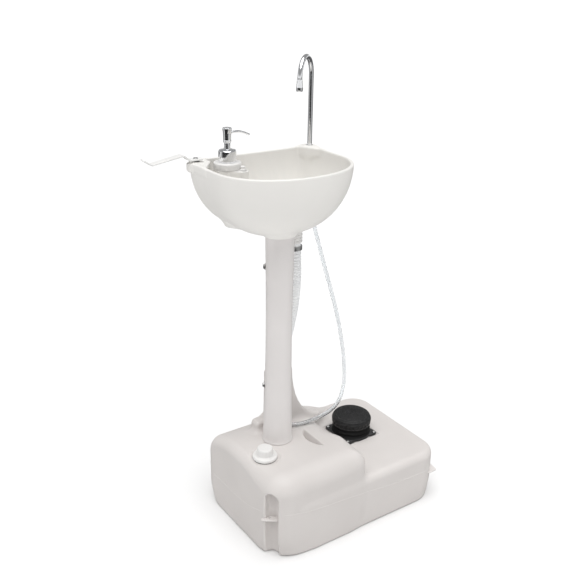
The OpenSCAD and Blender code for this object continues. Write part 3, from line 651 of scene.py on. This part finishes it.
def tank_hollow(x, y, z):
    return tank_skin(x, y, z) + TANK_WALL


def build_tank():
    low, high = (-241, -165, -7), (241, 165, 356)
    verts, quads = net(tank_skin, low, high, 2.4)
    inner, inner_quads = net(tank_hollow, low, (*high[:2], 200), 6.0, rounds=1)
    shell = joined([(verts * MM, quads), (inner * MM, inner_quads[:, ::-1])])
    piece("tank_shell", *shell, "tank_plastic", replaces=["water_tank"], crease=60)


build_tank()


def corner_lugs():
    """Thin tabs that cross the corner grooves, each with a screw hole."""
    front = soften([(-196, -100), (-222, -96), (-238, -108), (-240, -112), (-239, -115), (-215, -132),
                    (-211, -133), (-190, -134)], [0, 3, 2, 1, 2, 2, 2, 0])
    rear = soften([(-214, 118), (-225.5, 127), (-227, 133), (-224, 138.5), (-219, 144), (-212, 150),
                   (-203, 154.5), (-192, 157.5), (-180, 157), (-176, 140), (-196, 128)], 1.5)
    right = soften([(196, 100), (224, 96), (233, 104), (236, 118), (234, 130), (231, 152), (228, 155),
                    (208, 156), (190, 140)], [0, 3, 3, 3, 3, 2, 2, 2, 0])
    near_right = [(x, -y) for x, y in right]
    parts = []
    for outline, x, y, z in ((front, -222, -116, 90.5), (rear, -222, 133, 90.5),
                             (right, 226.9, 116, 65.5), (near_right, 226.9, -116, 65.5)):
        bore = [(x + a, y + b) for a, b in circle(2.2, 28)]
        parts.append(slab(outline, z, z + 3, holes=[bore], edge=0.7))
    piece("tank_lugs", *joined(parts), "tank_plastic")


corner_lugs()


def parting_height(x, y):
    """The mould line is highest round the near left corner and lower along the back and the low end."""
    front = 24 * np.exp(-((y + HALF_W) / 95) ** 2) / (1 + np.exp((x - 20) / 40))
    return 80 + front + 14 * np.exp(-((x + HALF_L) ** 2 + (y + HALF_W) ** 2) / 7200)


def parting_line():
    """Thin raised line round the tank where the mould's halves met, broken at the grooves."""
    count = 720
    a = np.linspace(0, 2 * np.pi, count, endpoint=False)
    ux, uy = np.cos(a), np.sin(a)
    r = np.full(count, 300.0)
    for _ in range(120):
        r = r - 0.8 * tank_body(r * ux, r * uy, parting_height(r * ux, r * uy))
    x, y = (r - 0.3) * ux, (r - 0.3) * uy
    z = parting_height(x, y)
    clear = np.ones(count, bool)
    for gx, gy, radius, top in GROOVES:
        clear &= (length2(x - gx, y - gy) > radius + 5) | (z > top + radius)
    start = int(np.argmin(clear))
    parts, run = [], []
    for k in [(start + k) % count for k in range(count + 1)]:
        if clear[k]:
            run.append((x[k], y[k], z[k]))
        elif len(run) > 2:
            sizes = [0.3 + 0.7 * min(1, i / 8, (len(run) - 1 - i) / 8) for i in range(len(run))]
            sections = [[(0.8 * q, 0.65 * w) for q, w in circle(size, 8)] for size in sizes]
            parts.append(sweep(run, sections, side=(0, 0, 1)))
            run = []
    piece("tank_parting_line", *joined(parts), "tank_plastic")


parting_line()


def tank_details():
    post = [(20.6, 180), (24.6, 180), (24.6, 358), (20.6, 358)]
    piece("column_post", *lathe(post, COLUMN, corners=1), "tank_plastic")
    eye = lathe([(1.5, 191), (4.4, 191), (4.4, 198.1), (1.5, 198.1)], VENT, 40, corners=0.5)
    floor = lathe([(0, 190.5), (1.6, 190.5), (1.6, 191.2), (0, 191.2)], VENT, 40)
    piece("vent_eye", *joined([eye, floor]), "tank_plastic")
    pad = [(0, 173), (17, 173), (17, 182.2), (16, 182.8), (0, 182.8)]
    piece("access_disc", *lathe(pad, PAD[:2], 80, corners=[0, 0.5, 1, 1, 0]), "white_plastic",
          replaces=["access_plug"])
    outside, hole = ([(PUMP[0] + x, PUMP[1] + y) for x, y in
                      soften([(-half, -half), (half, -half), (half, half), (-half, half)], r)]
                     for half, r in ((51.5, 3), (49.2, 1)))
    piece("pump_recess_border", *slab(outside, 127.4, 129.0, holes=[hole], edge=0.6), "tank_plastic")


tank_details()


def cap():
    profile = [(0, 18), (15, 18), (15, -15), (18.2, -15), (18.2, 0), (27, 0), (27, 4), (25.6, 6.6),
               (18.6, 6.9), (17.2, 9), (17.2, 21.5), (15.4, 24.2), (0, 24.6)]

    def flutes(angle, r, height):
        return r + (0.18 * math.cos(30 * angle) if 16.6 < r < 17.6 and height > 9 else 0)

    knob = lathe(profile, CAP, 240, shape=flutes, base=196.6,
                 corners=[0, 1, 0.6, 0.8, 0.5, 1.5, 2, 1.5, 2, 1, 2, 2, 0])
    piece("cap_knob", *knob, "white_plastic", body="cap", replaces=["tank_cap"])


cap()


# ---------- column ----------

WAIST = 0.56


def column_radius(z):
    """The tube is slimmest at WAIST of its height, and a little wider at the top than there."""
    t = (z - 199) / (COLUMN_TOP - 199)
    if t < WAIST:
        return 28 + 5 * (1 - t / WAIST) ** 2
    return 28 + 2.2 * ((t - WAIST) / (1 - WAIST)) ** 2


def column():
    heights = np.linspace(203, COLUMN_TOP + 14, 60)
    outer = [(column_radius(z), z) for z in heights]
    inner = [(column_radius(z) - 2.4, z) for z in heights[::-1]]
    foot = [(30.2, 198.4), (33.2, 198.4), (33.9, 199.2), (33.9, 201.2), (33.2, 202.2)]
    piece("column_tube", *lathe(foot + outer + inner, COLUMN, 128), "column_plastic",
          replaces=["column"], crease=40)
    seam = []
    for side in (-1, 1):
        line = [(COLUMN[0], side * (column_radius(z) - 0.15), z) for z in heights]
        seam.append(sweep(line, [[(0.5 * a, 0.28 * b) for a, b in circle(1, 8)]] * len(line)))
    piece("column_seams", *joined(seam), "column_plastic")


column()


def hex_head(place, axis, across, height, crown):
    """Hexagon head with a chamfered, slightly domed top, its seat at place and its top along axis."""
    levels = ((across, 0), (across, height - 0.5), (across * 0.9, height), (across * 0.55, height + crown))
    rings = [[(a * MM, b * MM, h * MM) for a, b in circle(r, 6)] for r, h in levels]
    turn = Vector((0, 0, 1)).rotation_difference(Vector(axis)).to_matrix().to_4x4()
    return moved(stack(rings), Matrix.Translation(Vector(place) * MM) @ turn)


def column_bolts():
    """Two screws across the column, each a head with a washer face and a shank with rings for thread."""
    shank = [(0, 1), (2.6, 1)]
    for k in range(14):
        shank += [(3.0, -1 - k * 1.3), (2.6, -1.65 - k * 1.3)]
    shank.append((0, -19.5))
    washer = [(0, 0), (6, 0), (6, 0.5), (0, 0.5)]
    aim = turned_at((*COLUMN, 0), BOLT_TURN)
    parts = []
    for x, z in ((-30.9, 332), (-30.6, 608)):
        along = turned_at((x, 0, z), -90, "Y")
        for part in (moved(lathe(washer, segments=40, corners=0.15), along),
                     moved(lathe(shank, segments=32), along),
                     hex_head((x, 0, z), (-1, 0, 0), 5.2, 3.0, 0.4)):
            parts.append(moved(part, aim))
    piece("column_bolt_heads", *joined(parts), "steel", replaces=["column_bolts"])


column_bolts()


# ---------- basin ----------

def d_points(half, back, front, r):
    """Outline in plan: a straight back with rounded corners, and a full, slightly squared front."""
    points = [(side * (half - r) + r * math.cos(a), back - r + r * math.sin(a))
              for side, first in ((1, 0), (-1, math.pi / 2))
              for a in np.linspace(first, first + math.pi / 2, 24)]
    for a in np.linspace(math.pi, 2 * math.pi, 150)[1:-1]:
        c, s = math.cos(a), math.sin(a)
        points.append((half * math.copysign(abs(c) ** 0.94, c), -front * abs(s) ** 0.94))
    return points


def reach_table(points, centre):
    """Distance from centre to the outline, for evenly spaced directions."""
    p = np.array(points) - np.array(centre)
    dense = []
    for a, b in zip(p, np.roll(p, -1, axis=0)):
        dense += [a + (b - a) * t for t in np.linspace(0, 1, 12, endpoint=False)]
    dense = np.array(dense)
    angle, reach = np.arctan2(dense[:, 1], dense[:, 0]), np.linalg.norm(dense, axis=1)
    order = np.argsort(angle)
    table = np.linspace(-np.pi, np.pi, 721)
    return table, np.interp(table, angle[order], reach[order], period=2 * np.pi)


# Outline, centre from the column, depth and fullness of the bowl's outside and inside.
OUTER = (reach_table(d_points(150, 114, 123, 22), (10, 20)), (10.0, 20.0), 146.0, 0.92)
INNER = (reach_table(d_points(143, 107, 116, 20), (52, 34)), (52.0, 34.0), 126.0, 1.0)


def bowl_field(x, y, z, which):
    (table, reach), (cx, cy), depth, full = which
    px, py = x - COLUMN[0] - cx, y - cy
    limit = np.interp(np.arctan2(py, px), table, reach)
    g = length2(px, py) / limit
    if which is OUTER:
        full = full * (1 - 0.22 * np.clip(-px / 150, 0, 1))
    w = np.maximum(RIM - z, 0) / depth
    power = 2 / full
    slope = np.sqrt((power * np.maximum(g, 0.02) ** (power - 1) / limit) ** 2 + (2 * w / depth) ** 2)
    return (g ** power + w ** 2 - 1) / np.maximum(slope, 0.004)


def well_plan(x, y, more):
    """Plan of the soap well: a large round end and a small one, joined."""
    ax, ay = SOAP
    ex, ey = REFILL[0] - ax, REFILL[1] - ay
    t = np.clip(((x - ax) * ex + (y - ay) * ey) / (ex * ex + ey * ey), 0, 1)
    return length2(x - ax - t * ex, y - ay - t * ey) - (22.5 - 15 * t + more)


WELL_WALL = 4


def well_field(x, y, z, more):
    """The well narrows below its waist to a small round foot, and its outside is blunter."""
    low, foot_radius = (696.0, 17) if more == WELL_WALL else (699.0, 13)
    t = np.clip((740 - z) / (740 - low), 0, 1)
    foot = round_post(x, y, WELL, foot_radius + more)
    return np.maximum(well_plan(x, y, more) * (1 - t) + foot * t, low - z)


def basin_field(x, y, z):
    # The bowl, its skin, and what stands inside it: the soap well, the near corner and the small tab.
    bowl = meet(bowl_field(x, y, z, OUTER), z - RIM, 2.6)
    shell = cut(bowl, bowl_field(x, y, z, INNER), 2.4)
    seat = np.maximum(round_post(x, y, SOAP, 26.5), np.maximum(756 - z, z - RIM + 12))
    well = well_field(x, y, z, WELL_WALL)
    corner = np.maximum(slope_plane(x, -y, -24, -130, 40, -26), y - 200)
    corner = np.maximum(meet(corner, RIM - 18 - z, 6), -24 - x)
    tab = np.maximum(slope_plane(x, -y, -252, -66, -236, -86), RIM - 14 - z)
    tab = np.maximum(tab, x + 236)
    boss = meet(bowl, np.maximum(round_post(x, y, FAUCET, 17), 700 - z), 2)
    keep = np.minimum(np.minimum(join(seat, np.maximum(well, z - 811), 3), corner), tab)
    solid = join(join(shell, meet(bowl, keep, 2), 6), boss, 14)

    # What stands outside it: the well's foot, the neck on the column, the drain's neck and the arm's ear.
    solid = join(solid, meet(meet(well, z - 786, 2), 695 - z, 4), 5)
    solid = join(solid, np.maximum(round_post(x, y, COLUMN, 31.4), np.maximum(680 - z, z - 697)), 14)
    solid = join(solid, np.maximum(round_post(x, y, DRAIN, 25), np.maximum(678 - z, z - 697)), 5)
    ear = meet(round_post(x, y, (ARM[0] - 2, ARM[1] + 1), 16), RIM - 19 - z, 6)
    solid = join(solid, meet(ear, z - RIM + 0.8, 2), 3)
    solid = join(solid, meet(round_post(x, y, ARM, 9), np.maximum(RIM - 8 - z, z - RIM - 1.5), 1), 1.5)

    # Holes for the soap tank, the drain and the faucet.
    solid = cut(solid, np.maximum(well_field(x, y, z, 0.5), 699 - z), 0.8)
    solid = cut(solid, round_post(x, y, DRAIN, 15.5), 0.5)
    solid = cut(solid, np.maximum(round_post(x, y, DRAIN, 22.5), 697 - z), 1.5)
    solid = cut(solid, np.maximum(round_post(x, y, FAUCET, 7), 780 - z), 0.5)
    return cut(solid, np.maximum(round_post(x, y, FAUCET, 12), z - 806), 0.5)


def build_basin():
    verts, quads = net(basin_field, (-288, -129, 672), (30, 120, 832), 1.6)
    piece("basin_bowl", verts * MM, quads, "basin_plastic", replaces=["basin"], crease=60)
    socket = [(22.4, 586), (25.4, 586), (25.4, 684), (22.4, 684)]
    piece("basin_socket", *lathe(socket, COLUMN, corners=1), "basin_plastic")


build_basin()


# ---------- drain fittings ----------

def drain_fittings():
    flange = [(13, 660), (15, 660), (15, 697.2), (22, 697.2), (22, 698.6), (20, 699.6), (13.6, 698.4),
              (13, 697)]
    parts = [lathe(flange, DRAIN, 80, corners=[0.4, 0.4, 0.3, 0.5, 0.8, 1, 0.5, 0.5])]
    bar = slab(soften([(-13.4, -1), (13.4, -1), (13.4, 1), (-13.4, 1)], 0.3), 697.0, 698.6, edge=0.3)
    parts += [moved(bar, turned_at((*DRAIN, 0), a)) for a in (0, 60, 120)]
    piece("drain_flange", *joined(parts), "chrome", replaces=["drain_strainer"])

    def wings(angle, r, height):
        return r + (2.4 * max(0.0, math.cos(6 * angle)) ** 2 if r > 19 else 0)

    nut = [(15.1, 668), (21, 668), (21, 676), (15.1, 676)]
    piece("drain_ring_nut", *lathe(nut, DRAIN, 144, shape=wings, corners=0.8), "white_plastic",
          replaces=["drain_nut"])
    thread = [(15.8 + 0.85 * (1 - math.cos(2 * math.pi * h / 6.9)), 640 + h)
              for h in np.linspace(0, 27.5, 40)]
    tail = [(11.5, 640)] + thread + [(15.1, 667.5), (15.1, 644), (11.5, 644)]
    piece("drain_tail_piece", *lathe(tail, DRAIN, 96), "white_plastic", replaces=["drain_tail"])
    band = lathe([(15.7, 624), (16.9, 624), (16.9, 633), (15.7, 633)], (DRAIN[0] + 0.3, DRAIN[1]), 80,
                 corners=0.4)
    ear = slab(soften([(16.2, -3), (23, -3), (23, 3), (16.2, 3)], 1), 625, 632, edge=0.5)
    screw = moved(hex_head((0, 0, 0), (0, 0, 1), 3, 2.4, 0.4), turned_at((20, -3, 628.5), 90, "X"))
    tightener = moved(joined([ear, screw]), turned_at((*DRAIN, 0), CLAMP_TURN))
    piece("hose_clamp", *joined([band, tightener]), "steel", replaces=["drain_clamp"])


drain_fittings()


# ---------- faucet ----------

SPOUT_TURN = math.radians(217.5)
PORT_TURN = math.radians(-16.4)
BEND_R, BEND_Z = 40.0, 974.0


def faucet():
    collar = lathe([(5.1, 783), (6.8, 783), (6.8, 824), (8.4, 824), (8.4, 824.6), (7.6, 825.2),
                    (5.1, 825.2)], FAUCET, 64, corners=[0.3, 0.5, 0.1, 0.2, 0.3, 0.3, 0.1])
    barb = lathe([(2.5, 768), (4.2, 768), (4.6, 771), (4.1, 771.4), (4.5, 775), (4.0, 775.4), (4.4, 783),
                  (6.6, 783.6), (6.6, 788), (5.1, 788), (2.5, 786)], FAUCET, 48)
    piece("faucet_collar", *joined([collar, barb]), "white_plastic", replaces=["faucet_body"])
    ring = lathe([(5.1, 825.2), (7.2, 825.2), (6.8, 827.6), (5.1, 827.6)], FAUCET, 64,
                 corners=[0.2, 0.6, 0.9, 0.2])
    piece("spout_ring_seal", *ring, "seal_rubber", replaces=["spout_seal", "faucet_gasket"])
    ux, uy = math.cos(SPOUT_TURN), math.sin(SPOUT_TURN)
    line = [(*FAUCET, z) for z in np.linspace(790, BEND_Z - 6, 30)]
    for a in np.linspace(0, math.pi, 60):
        out = BEND_R - BEND_R * math.cos(a)
        line.append((FAUCET[0] + ux * out, FAUCET[1] + uy * out, BEND_Z + BEND_R * math.sin(a)))
    piece("spout_tube", *pipe(line, [5.0] * len(line), [4.0] * len(line), n=40), "chrome", body="spout",
          replaces=["faucet_spout"], crease=50)
    tip, z = (FAUCET[0] + ux * 2 * BEND_R, FAUCET[1] + uy * 2 * BEND_R), BEND_Z - 24
    nozzle = lathe([(4, 0), (6, 0), (6.8, 3), (6.8, 8), (6.3, 13), (5.7, 19), (5.5, 23.9), (4, 23.9)],
                   tip, 64, corners=[0.4, 1, 2, 2, 3, 3, 0.3, 0.3], base=z)
    mesh_plate = lathe([(0, 2), (4.05, 2), (4.05, 2.6), (0, 2.6)], tip, 48, base=z)
    piece("spout_nozzle", *joined([nozzle, mesh_plate]), "chrome", body="spout", replaces=["faucet_nozzle"])


faucet()


def port_elbow():
    base = lathe([(0, 184), (5, 184), (5, 199), (9, 199), (9, 200.2), (8, 200.8), (6.2, 201), (5.6, 206),
                  (5.2, 208.6), (3.4, 209.6), (0, 209.6)], PORT, 64,
                 corners=[0, 0.5, 0.2, 0.4, 0.5, 0.5, 1.5, 1, 1, 1, 0])
    ahead = np.array([math.cos(PORT_TURN), math.sin(PORT_TURN), 0])
    steps = [(0, 4.2), (6, 4.2), (6.3, 4.9), (7.4, 4.9), (8.6, 3.9), (9, 4.3), (11.6, 3.4), (12, 3.0)]
    barb = round_tube([(*PORT, 204.0) + ahead * d for d, _ in steps], [r for _, r in steps], n=32,
                      side=(0, 0, 1))
    piece("port_elbow", *joined([base, barb]), "white_plastic", replaces=["port_fitting"])


port_elbow()


# ---------- foot pump ----------

def pump_plate():
    """Square-eared base plate with a raised inner ring, and the chamber below it."""
    angles = np.linspace(0, 2 * math.pi, 240, endpoint=False)
    turned = np.abs(angles % (math.pi / 2) - math.pi / 4)
    reach = np.where(turned < 0.5, np.maximum(48.0, 63 - 47 * turned ** 1.05), 48.0)
    for _ in range(2):
        reach = (np.roll(reach, 1) + reach + np.roll(reach, -1)) / 3
    outline = [(PUMP[0] + r * math.cos(a), PUMP[1] + r * math.sin(a)) for r, a in zip(reach, angles)]
    bore = [(PUMP[0] + x, PUMP[1] + y) for x, y in circle(31, 72)]
    cup = lathe([(0, 96), (34, 96), (34, 127.5), (31, 127.5), (31, 99), (0, 99)], PUMP, 96,
                corners=[0, 2, 0, 0, 1, 0])
    ring = lathe([(44.5, 131.6), (47.4, 131.6), (47.0, 134.2), (45.0, 134.2)], PUMP, 96,
                 corners=0.6)
    parts, screws = [slab(outline, 127, 132, holes=[bore], edge=0.8), cup, ring], []
    boss = [(2.2, 131.7), (5.4, 131.7), (5.0, 132.3), (2.2, 132.3)]
    screw = [(0, 120), (1.7, 120), (1.7, 132.1), (3.7, 132.1), (3.3, 133.4), (1.4, 134.1), (1.2, 133.2),
             (0, 133.0)]
    for at in [(PUMP[0] + x, PUMP[1] + y) for x in (-39.5, 39.5) for y in (-39.5, 39.5)]:
        parts.append(lathe(boss, at, 36, corners=0.25))
        screws.append(lathe(screw, at, 36, corners=[0, 0.3, 0.2, 0.4, 0.6, 0.4, 0.2, 0]))
    piece("pump_base_plate", *joined(parts), "black_plastic", replaces=["pump_base"])
    piece("pump_plate_screws", *joined(screws), "steel", replaces=["pump_screws"])


pump_plate()


def pump_bellows():
    profile = [(38, 0), (47, 0), (47, 2), (41.5, 7), (46.5, 12), (41.5, 17), (44, 22), (44, 24),
               (36, 24), (36, 22), (42, 22), (39, 17), (44, 12), (39, 7), (43, 2), (38, 2)]
    corners = [0.3, 0.8, 0.8, 1.4, 1.6, 1.4, 0.8, 0.5, 0.5, 0.3, 0.3, 1.2, 1.2, 1.2, 0.5, 0.3]
    bellows = lathe(profile, PUMP, 128, corners=corners, base=132)
    skirt = piece("pump_bellows_skirt", *bellows, "black_rubber", replaces=["pump_bellows"], crease=0)
    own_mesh(skirt)
    spring = piece("pump_return_spring", *coil(PUMP, 22, 1.2, 101, 72.0, 32, 10), "steel",
                   replaces=["pump_spring"], crease=0)
    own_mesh(spring)


pump_bellows()


def pump_tread():
    """Pedal cap: ribbed skirt, a step, a domed shoulder, and rings of small blocks over its top."""
    z, row, block = 156.0, 4.6, 4.2
    skirt = [(40, 0), (46.2, 0), (46.6, 1), (46.6, 2.4), (45.2, 3.2), (45.2, 7.6), (45.4, 8.6), (47.4, 9.2),
             (47.4, 10.2)]
    dome = [(29 + 18.4 * math.cos(a), 10.4 + 13.2 * math.sin(a))
            for a in np.linspace(0, math.radians(88), 30)]
    top = [(r, 23.6 + 1.0 * (1 - (r / 30) ** 2)) for r in np.linspace(29.0, 0.6, 58)]

    def ribs(angle, r, height):
        if 3.0 < height < 8.7 and r > 42:
            return r + 1.7 * max(0.0, min(1.0, 1.8 * math.cos(28 * angle) + 0.4))
        return r

    verts, faces = lathe(skirt + dome + top + [(0, 24.6)], PUMP, 336, shape=ribs, base=z)
    lifted = []
    for x, y, h in verts:
        px, py = x / MM - PUMP[0], y / MM - PUMP[1]
        r, lift = math.hypot(px, py), 0.0
        if h / MM - z > 13.4:
            number = math.floor(r / row)
            band = 0.5 + 0.5 * math.cos(2 * math.pi * (r / row - 0.5))
            count = max(6, int(round(2 * math.pi * (number + 0.5) * row / block)))
            wave = 0.5 + 0.5 * math.cos(count * math.atan2(py, px) + number)
            lift = (1.2 * step_up(band * (0.35 + 0.65 * wave), 0.18, 0.5) if r > 3 else 0.0) - 0.55
        lifted.append((x, y, h + lift * MM))
    inner, inner_faces = lathe([(40, 0), (40, 12.4), (30, 17.2), (0, 17.6)], PUMP, 112, base=z)
    under = (inner, [f[::-1] for f in inner_faces])
    piece("pump_tread_cap", *joined([(lifted, faces), under]), "black_plastic", body="tread",
          replaces=["pump_tread"], crease=30)


pump_tread()


# ---------- soap pump ----------

def soap_reservoir():
    """The soap tank fills the well. A disc covers its large end and a knob closes its small one."""
    middle, rings = (-207.0, 50.0), []
    a = np.linspace(0, 2 * math.pi, 96, endpoint=False)
    for z, more in ((700, 0), (720, 0), (740, 0), (790, 0), (809, 0), (811.4, -0.6), (812, -1.6)):
        low, high = np.zeros(len(a)), np.full(len(a), 60.0)
        for _ in range(30):
            mid = (low + high) / 2
            x, y = middle[0] + mid * np.cos(a), middle[1] + mid * np.sin(a)
            within = well_field(x, y, z, more) < 0
            low, high = np.where(within, mid, low), np.where(within, high, mid)
        rings.append([(px * MM, py * MM, z * MM) for px, py in zip(x, y)])
    z = RIM
    disc = lathe([(10, 800 - z), (22.4, 800 - z), (22.4, -11.6), (27.6, -11.6), (27.6, -0.2), (26.2, 1.4),
                  (14.4, 1.6), (13, 3), (13, 21), (12.4, 22), (10, 22)], SOAP, 96, base=z,
                 corners=[0.3, 0.3, 0.3, 1, 2, 1, 1, 1, 0.6, 0.4, 0.3])
    piece("soap_reservoir", *joined([stack(rings), disc]), "white_plastic", replaces=["soap_bottle"])
    plug = lathe([(0, -12), (4.9, -12), (4.9, 0), (7, 0), (7, 1.6), (6.2, 2.4), (5.0, 2.8), (5.4, 6),
                  (5.2, 7), (4.2, 7.6), (0, 7.6)], REFILL, 64, base=812.2,
                 corners=[0, 0.5, 0.3, 0.4, 0.5, 0.5, 0.6, 0.6, 0.5, 0.6, 0])
    piece("refill_knob", *plug, "white_plastic", body="refill_stopper", replaces=["refill_plug"])


soap_reservoir()


def soap_pump():
    collar = lathe([(13.2, 0), (13.2, -2.2), (17.2, -2.2), (17.5, -1), (17.5, 19.4), (16.2, 21.4),
                    (9.6, 22.2), (8.2, 22.6), (6.5, 22.6), (6.5, 19), (13.2, 19)], SOAP, 96, base=RIM + 4,
                   corners=[0.1, 0.3, 0.5, 0.5, 1.4, 1.2, 0.8, 0.3, 0.3, 0.3, 0.4])
    piece("soap_pump_collar", *collar, "chrome", replaces=["soap_collar"])
    stem = [(2, 807), (6.35, 807), (6.35, 814.6), (6, 815.2), (6, 870), (2, 870)]
    piece("soap_piston_stem", *lathe(stem, SOAP, 64, corners=0.3), "chrome", body="soap_piston",
          replaces=["soap_stem"])
    z = RIM - 3
    head = lathe([(0, 47), (6.1, 47), (6.1, 42), (7.2, 42), (7.9, 45.5), (7.6, 47.5), (8, 60), (9.1, 69.2),
                  (8.8, 70.9), (6.5, 71.5), (0, 71.5)], SOAP, 80, base=z,
                 corners=[0, 0.2, 0.3, 0.6, 0.8, 1, 8, 1.2, 0.8, 0.8, 0])
    line = [(SOAP[0] + out, SOAP[1], z + h) for out, h in
            ((5, 61), (12, 61.3), (20, 61.4), (26, 61.1), (31, 59.9), (40, 57.0), (50, 52.6))]
    points, at = resample(catmull(line, 6), 1.2)
    radii = 2.7 - 0.6 * at / at[-1]
    beak = pipe(points, radii, radii - 0.7, n=28, side=(0, 1, 0))
    piece("soap_pump_head", *joined([head, beak]), "chrome", body="soap_actuator", replaces=["soap_head"])
    spring = piece("soap_return_spring", *coil(SOAP, 4.6, 0.6, 773, 34.0, 28, 8), "steel",
                   replaces=["soap_spring"], crease=0)
    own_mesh(spring)


soap_pump()


# ---------- towel arm ----------

def towel_arm():
    """Flat strip with rounded bends and a rising tip, turning on a screw."""
    z = RIM + 6.1
    middle = soften([(-252, z), (-281.5, z), (-295, z + 11), (-362, z), (-379.2, z + 11.4)],
                    [0, 9, 9, 8, 0], closed=False, steps=8)
    points, at = resample([(x, ARM[1], h) for x, h in middle], 2.0)
    sections = []
    for d in at:
        end = min(d, at[-1] - d)
        half = 9.0 if end > 3 else 9.0 - 3 * (1 - math.sqrt(max(0.0, 1 - (1 - end / 3) ** 2)))
        sections.append(soften([(-half, -1.5), (half, -1.5), (half, 1.5), (-half, 1.5)], 0.7, steps=3))
    piece("towel_arm_strip", *sweep(points, sections, side=(0, 1, 0)), "arm_paint", body="arm",
          replaces=["towel_arm"], crease=40)
    head = lathe([(0, 812), (1.9, 812), (1.9, 825.6), (2.5, 825.6), (2.5, 831.7), (5.2, 831.7),
                  (4.9, 832.8), (2.6, 833.7), (1.8, 833.5), (1.6, 832.8), (0, 832.7)], ARM, 48,
                 corners=[0, 0.3, 0.2, 0.2, 0.2, 0.4, 0.6, 0.8, 0.3, 0.2, 0])
    piece("arm_pivot_screw", *head, "steel", replaces=["arm_screw"])


towel_arm()


# ---------- carried-over parts ----------

KEPT = {
    "seal_rubber": ["cap_gasket", "drain_gasket", "port_gasket", "pump_gasket", "inlet_valve",
                    "outlet_valve", "arm_spacer"],
    "steel": ["column_washers", "column_nuts", "supply_clips", "soap_ball"],
    "white_plastic": ["faucet_nut", "soap_pump_body", "pickup_filter"],
    "clear_tube": ["outlet_tube", "pickup_tube", "soap_dip_tube"],
}
for finish, names in KEPT.items():
    for name in names:
        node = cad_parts[name]
        node.data.materials.clear()
        node.data.materials.append(MATERIALS[finish])


# ---------- floor, light and finish ----------

FLOOR_R, PAPER = 60.0, 0.88
SKY_DIMS_BY, HIGH_SKY = 16.0, 0.30
# The room under the horizon, seen only in polished metal: where it starts, as a direction's height,
# and its brightness by heading, dark behind the camera with a bright panel on each side.
ROOM_FADE = (-0.03, -0.06)
ROOM_BANDS = [(0.0, 0.03), (0.225, 0.02), (0.265, 0.45), (0.40, 0.40), (0.46, 0.10), (0.65, 0.10),
              (0.80, 0.16), (0.87, 0.42), (0.965, 0.40), (0.985, 0.03)]
OVERHEAD, OVERHEAD_STRENGTH, OVERHEAD_SPREAD = (-0.10, -0.15, 1.0), 2.9, 70


def studio():
    """White floor and a bright low sky that dims upwards, with one broad soft light from above."""
    floor = bpy.data.meshes.new("floor")
    floor.from_pydata([(x, y, 0) for x, y in circle(FLOOR_R, 96)], [], [tuple(range(96))])
    paper = bpy.data.materials.new("paper")
    paper.use_nodes = True
    shader = paper.node_tree.nodes["Principled BSDF"]
    shader.inputs["Base Color"].default_value = (PAPER, PAPER, PAPER, 1)
    shader.inputs["Roughness"].default_value = 1.0
    shader.inputs["Specular IOR Level"].default_value = 0.0
    floor.materials.append(paper)
    obj = bpy.data.objects.new("floor", floor)
    scene.collection.objects.link(obj)
    obj.visible_glossy = False

    world = bpy.data.worlds.new("world")
    world.use_nodes = True
    back = world.node_tree.nodes["Background"]
    nodes, links = world.node_tree.nodes, world.node_tree.links
    aim = nodes.new("ShaderNodeSeparateXYZ")
    links.new(nodes.new("ShaderNodeTexCoord").outputs["Generated"], aim.inputs["Vector"])

    def between(value, low, high, low_value, high_value):
        span = nodes.new("ShaderNodeMapRange")
        for socket, number in (("From Min", low), ("From Max", high), ("To Min", low_value),
                               ("To Max", high_value)):
            span.inputs[socket].default_value = number
        links.new(value, span.inputs["Value"])
        return span.outputs["Result"]

    sky = between(aim.outputs["Z"], 0.0, math.sin(math.radians(SKY_DIMS_BY)), 1.0, HIGH_SKY)
    below = between(aim.outputs["Z"], *ROOM_FADE, 0.0, 1.0)
    heading = nodes.new("ShaderNodeMath")
    heading.operation = "ARCTAN2"
    links.new(aim.outputs["Y"], heading.inputs[0])
    links.new(aim.outputs["X"], heading.inputs[1])
    bands = nodes.new("ShaderNodeValToRGB")
    stops = bands.color_ramp.elements
    while len(stops) < len(ROOM_BANDS):
        stops.new(0.5)
    for stop, (at, value) in zip(stops, ROOM_BANDS):
        stop.position = at
        stop.color = (value, value, value, 1)
    links.new(between(heading.outputs["Value"], -math.pi, math.pi, 0.0, 1.0), bands.inputs["Fac"])
    mix = nodes.new("ShaderNodeMix")
    links.new(below, mix.inputs["Factor"])
    links.new(sky, mix.inputs["A"])
    links.new(bands.outputs["Color"], mix.inputs["B"])
    back.inputs["Color"].default_value = (1, 1, 1, 1)
    links.new(mix.outputs["Result"], back.inputs["Strength"])
    scene.world = world
    data = bpy.data.lights.new("overhead", "SUN")
    data.energy = OVERHEAD_STRENGTH
    data.angle = math.radians(OVERHEAD_SPREAD)
    lamp = bpy.data.objects.new("overhead", data)
    lamp.rotation_euler = (-Vector(OVERHEAD)).to_track_quat("-Z", "Y").to_euler()
    scene.collection.objects.link(lamp)


studio()
scene.view_settings.view_transform = "Standard"
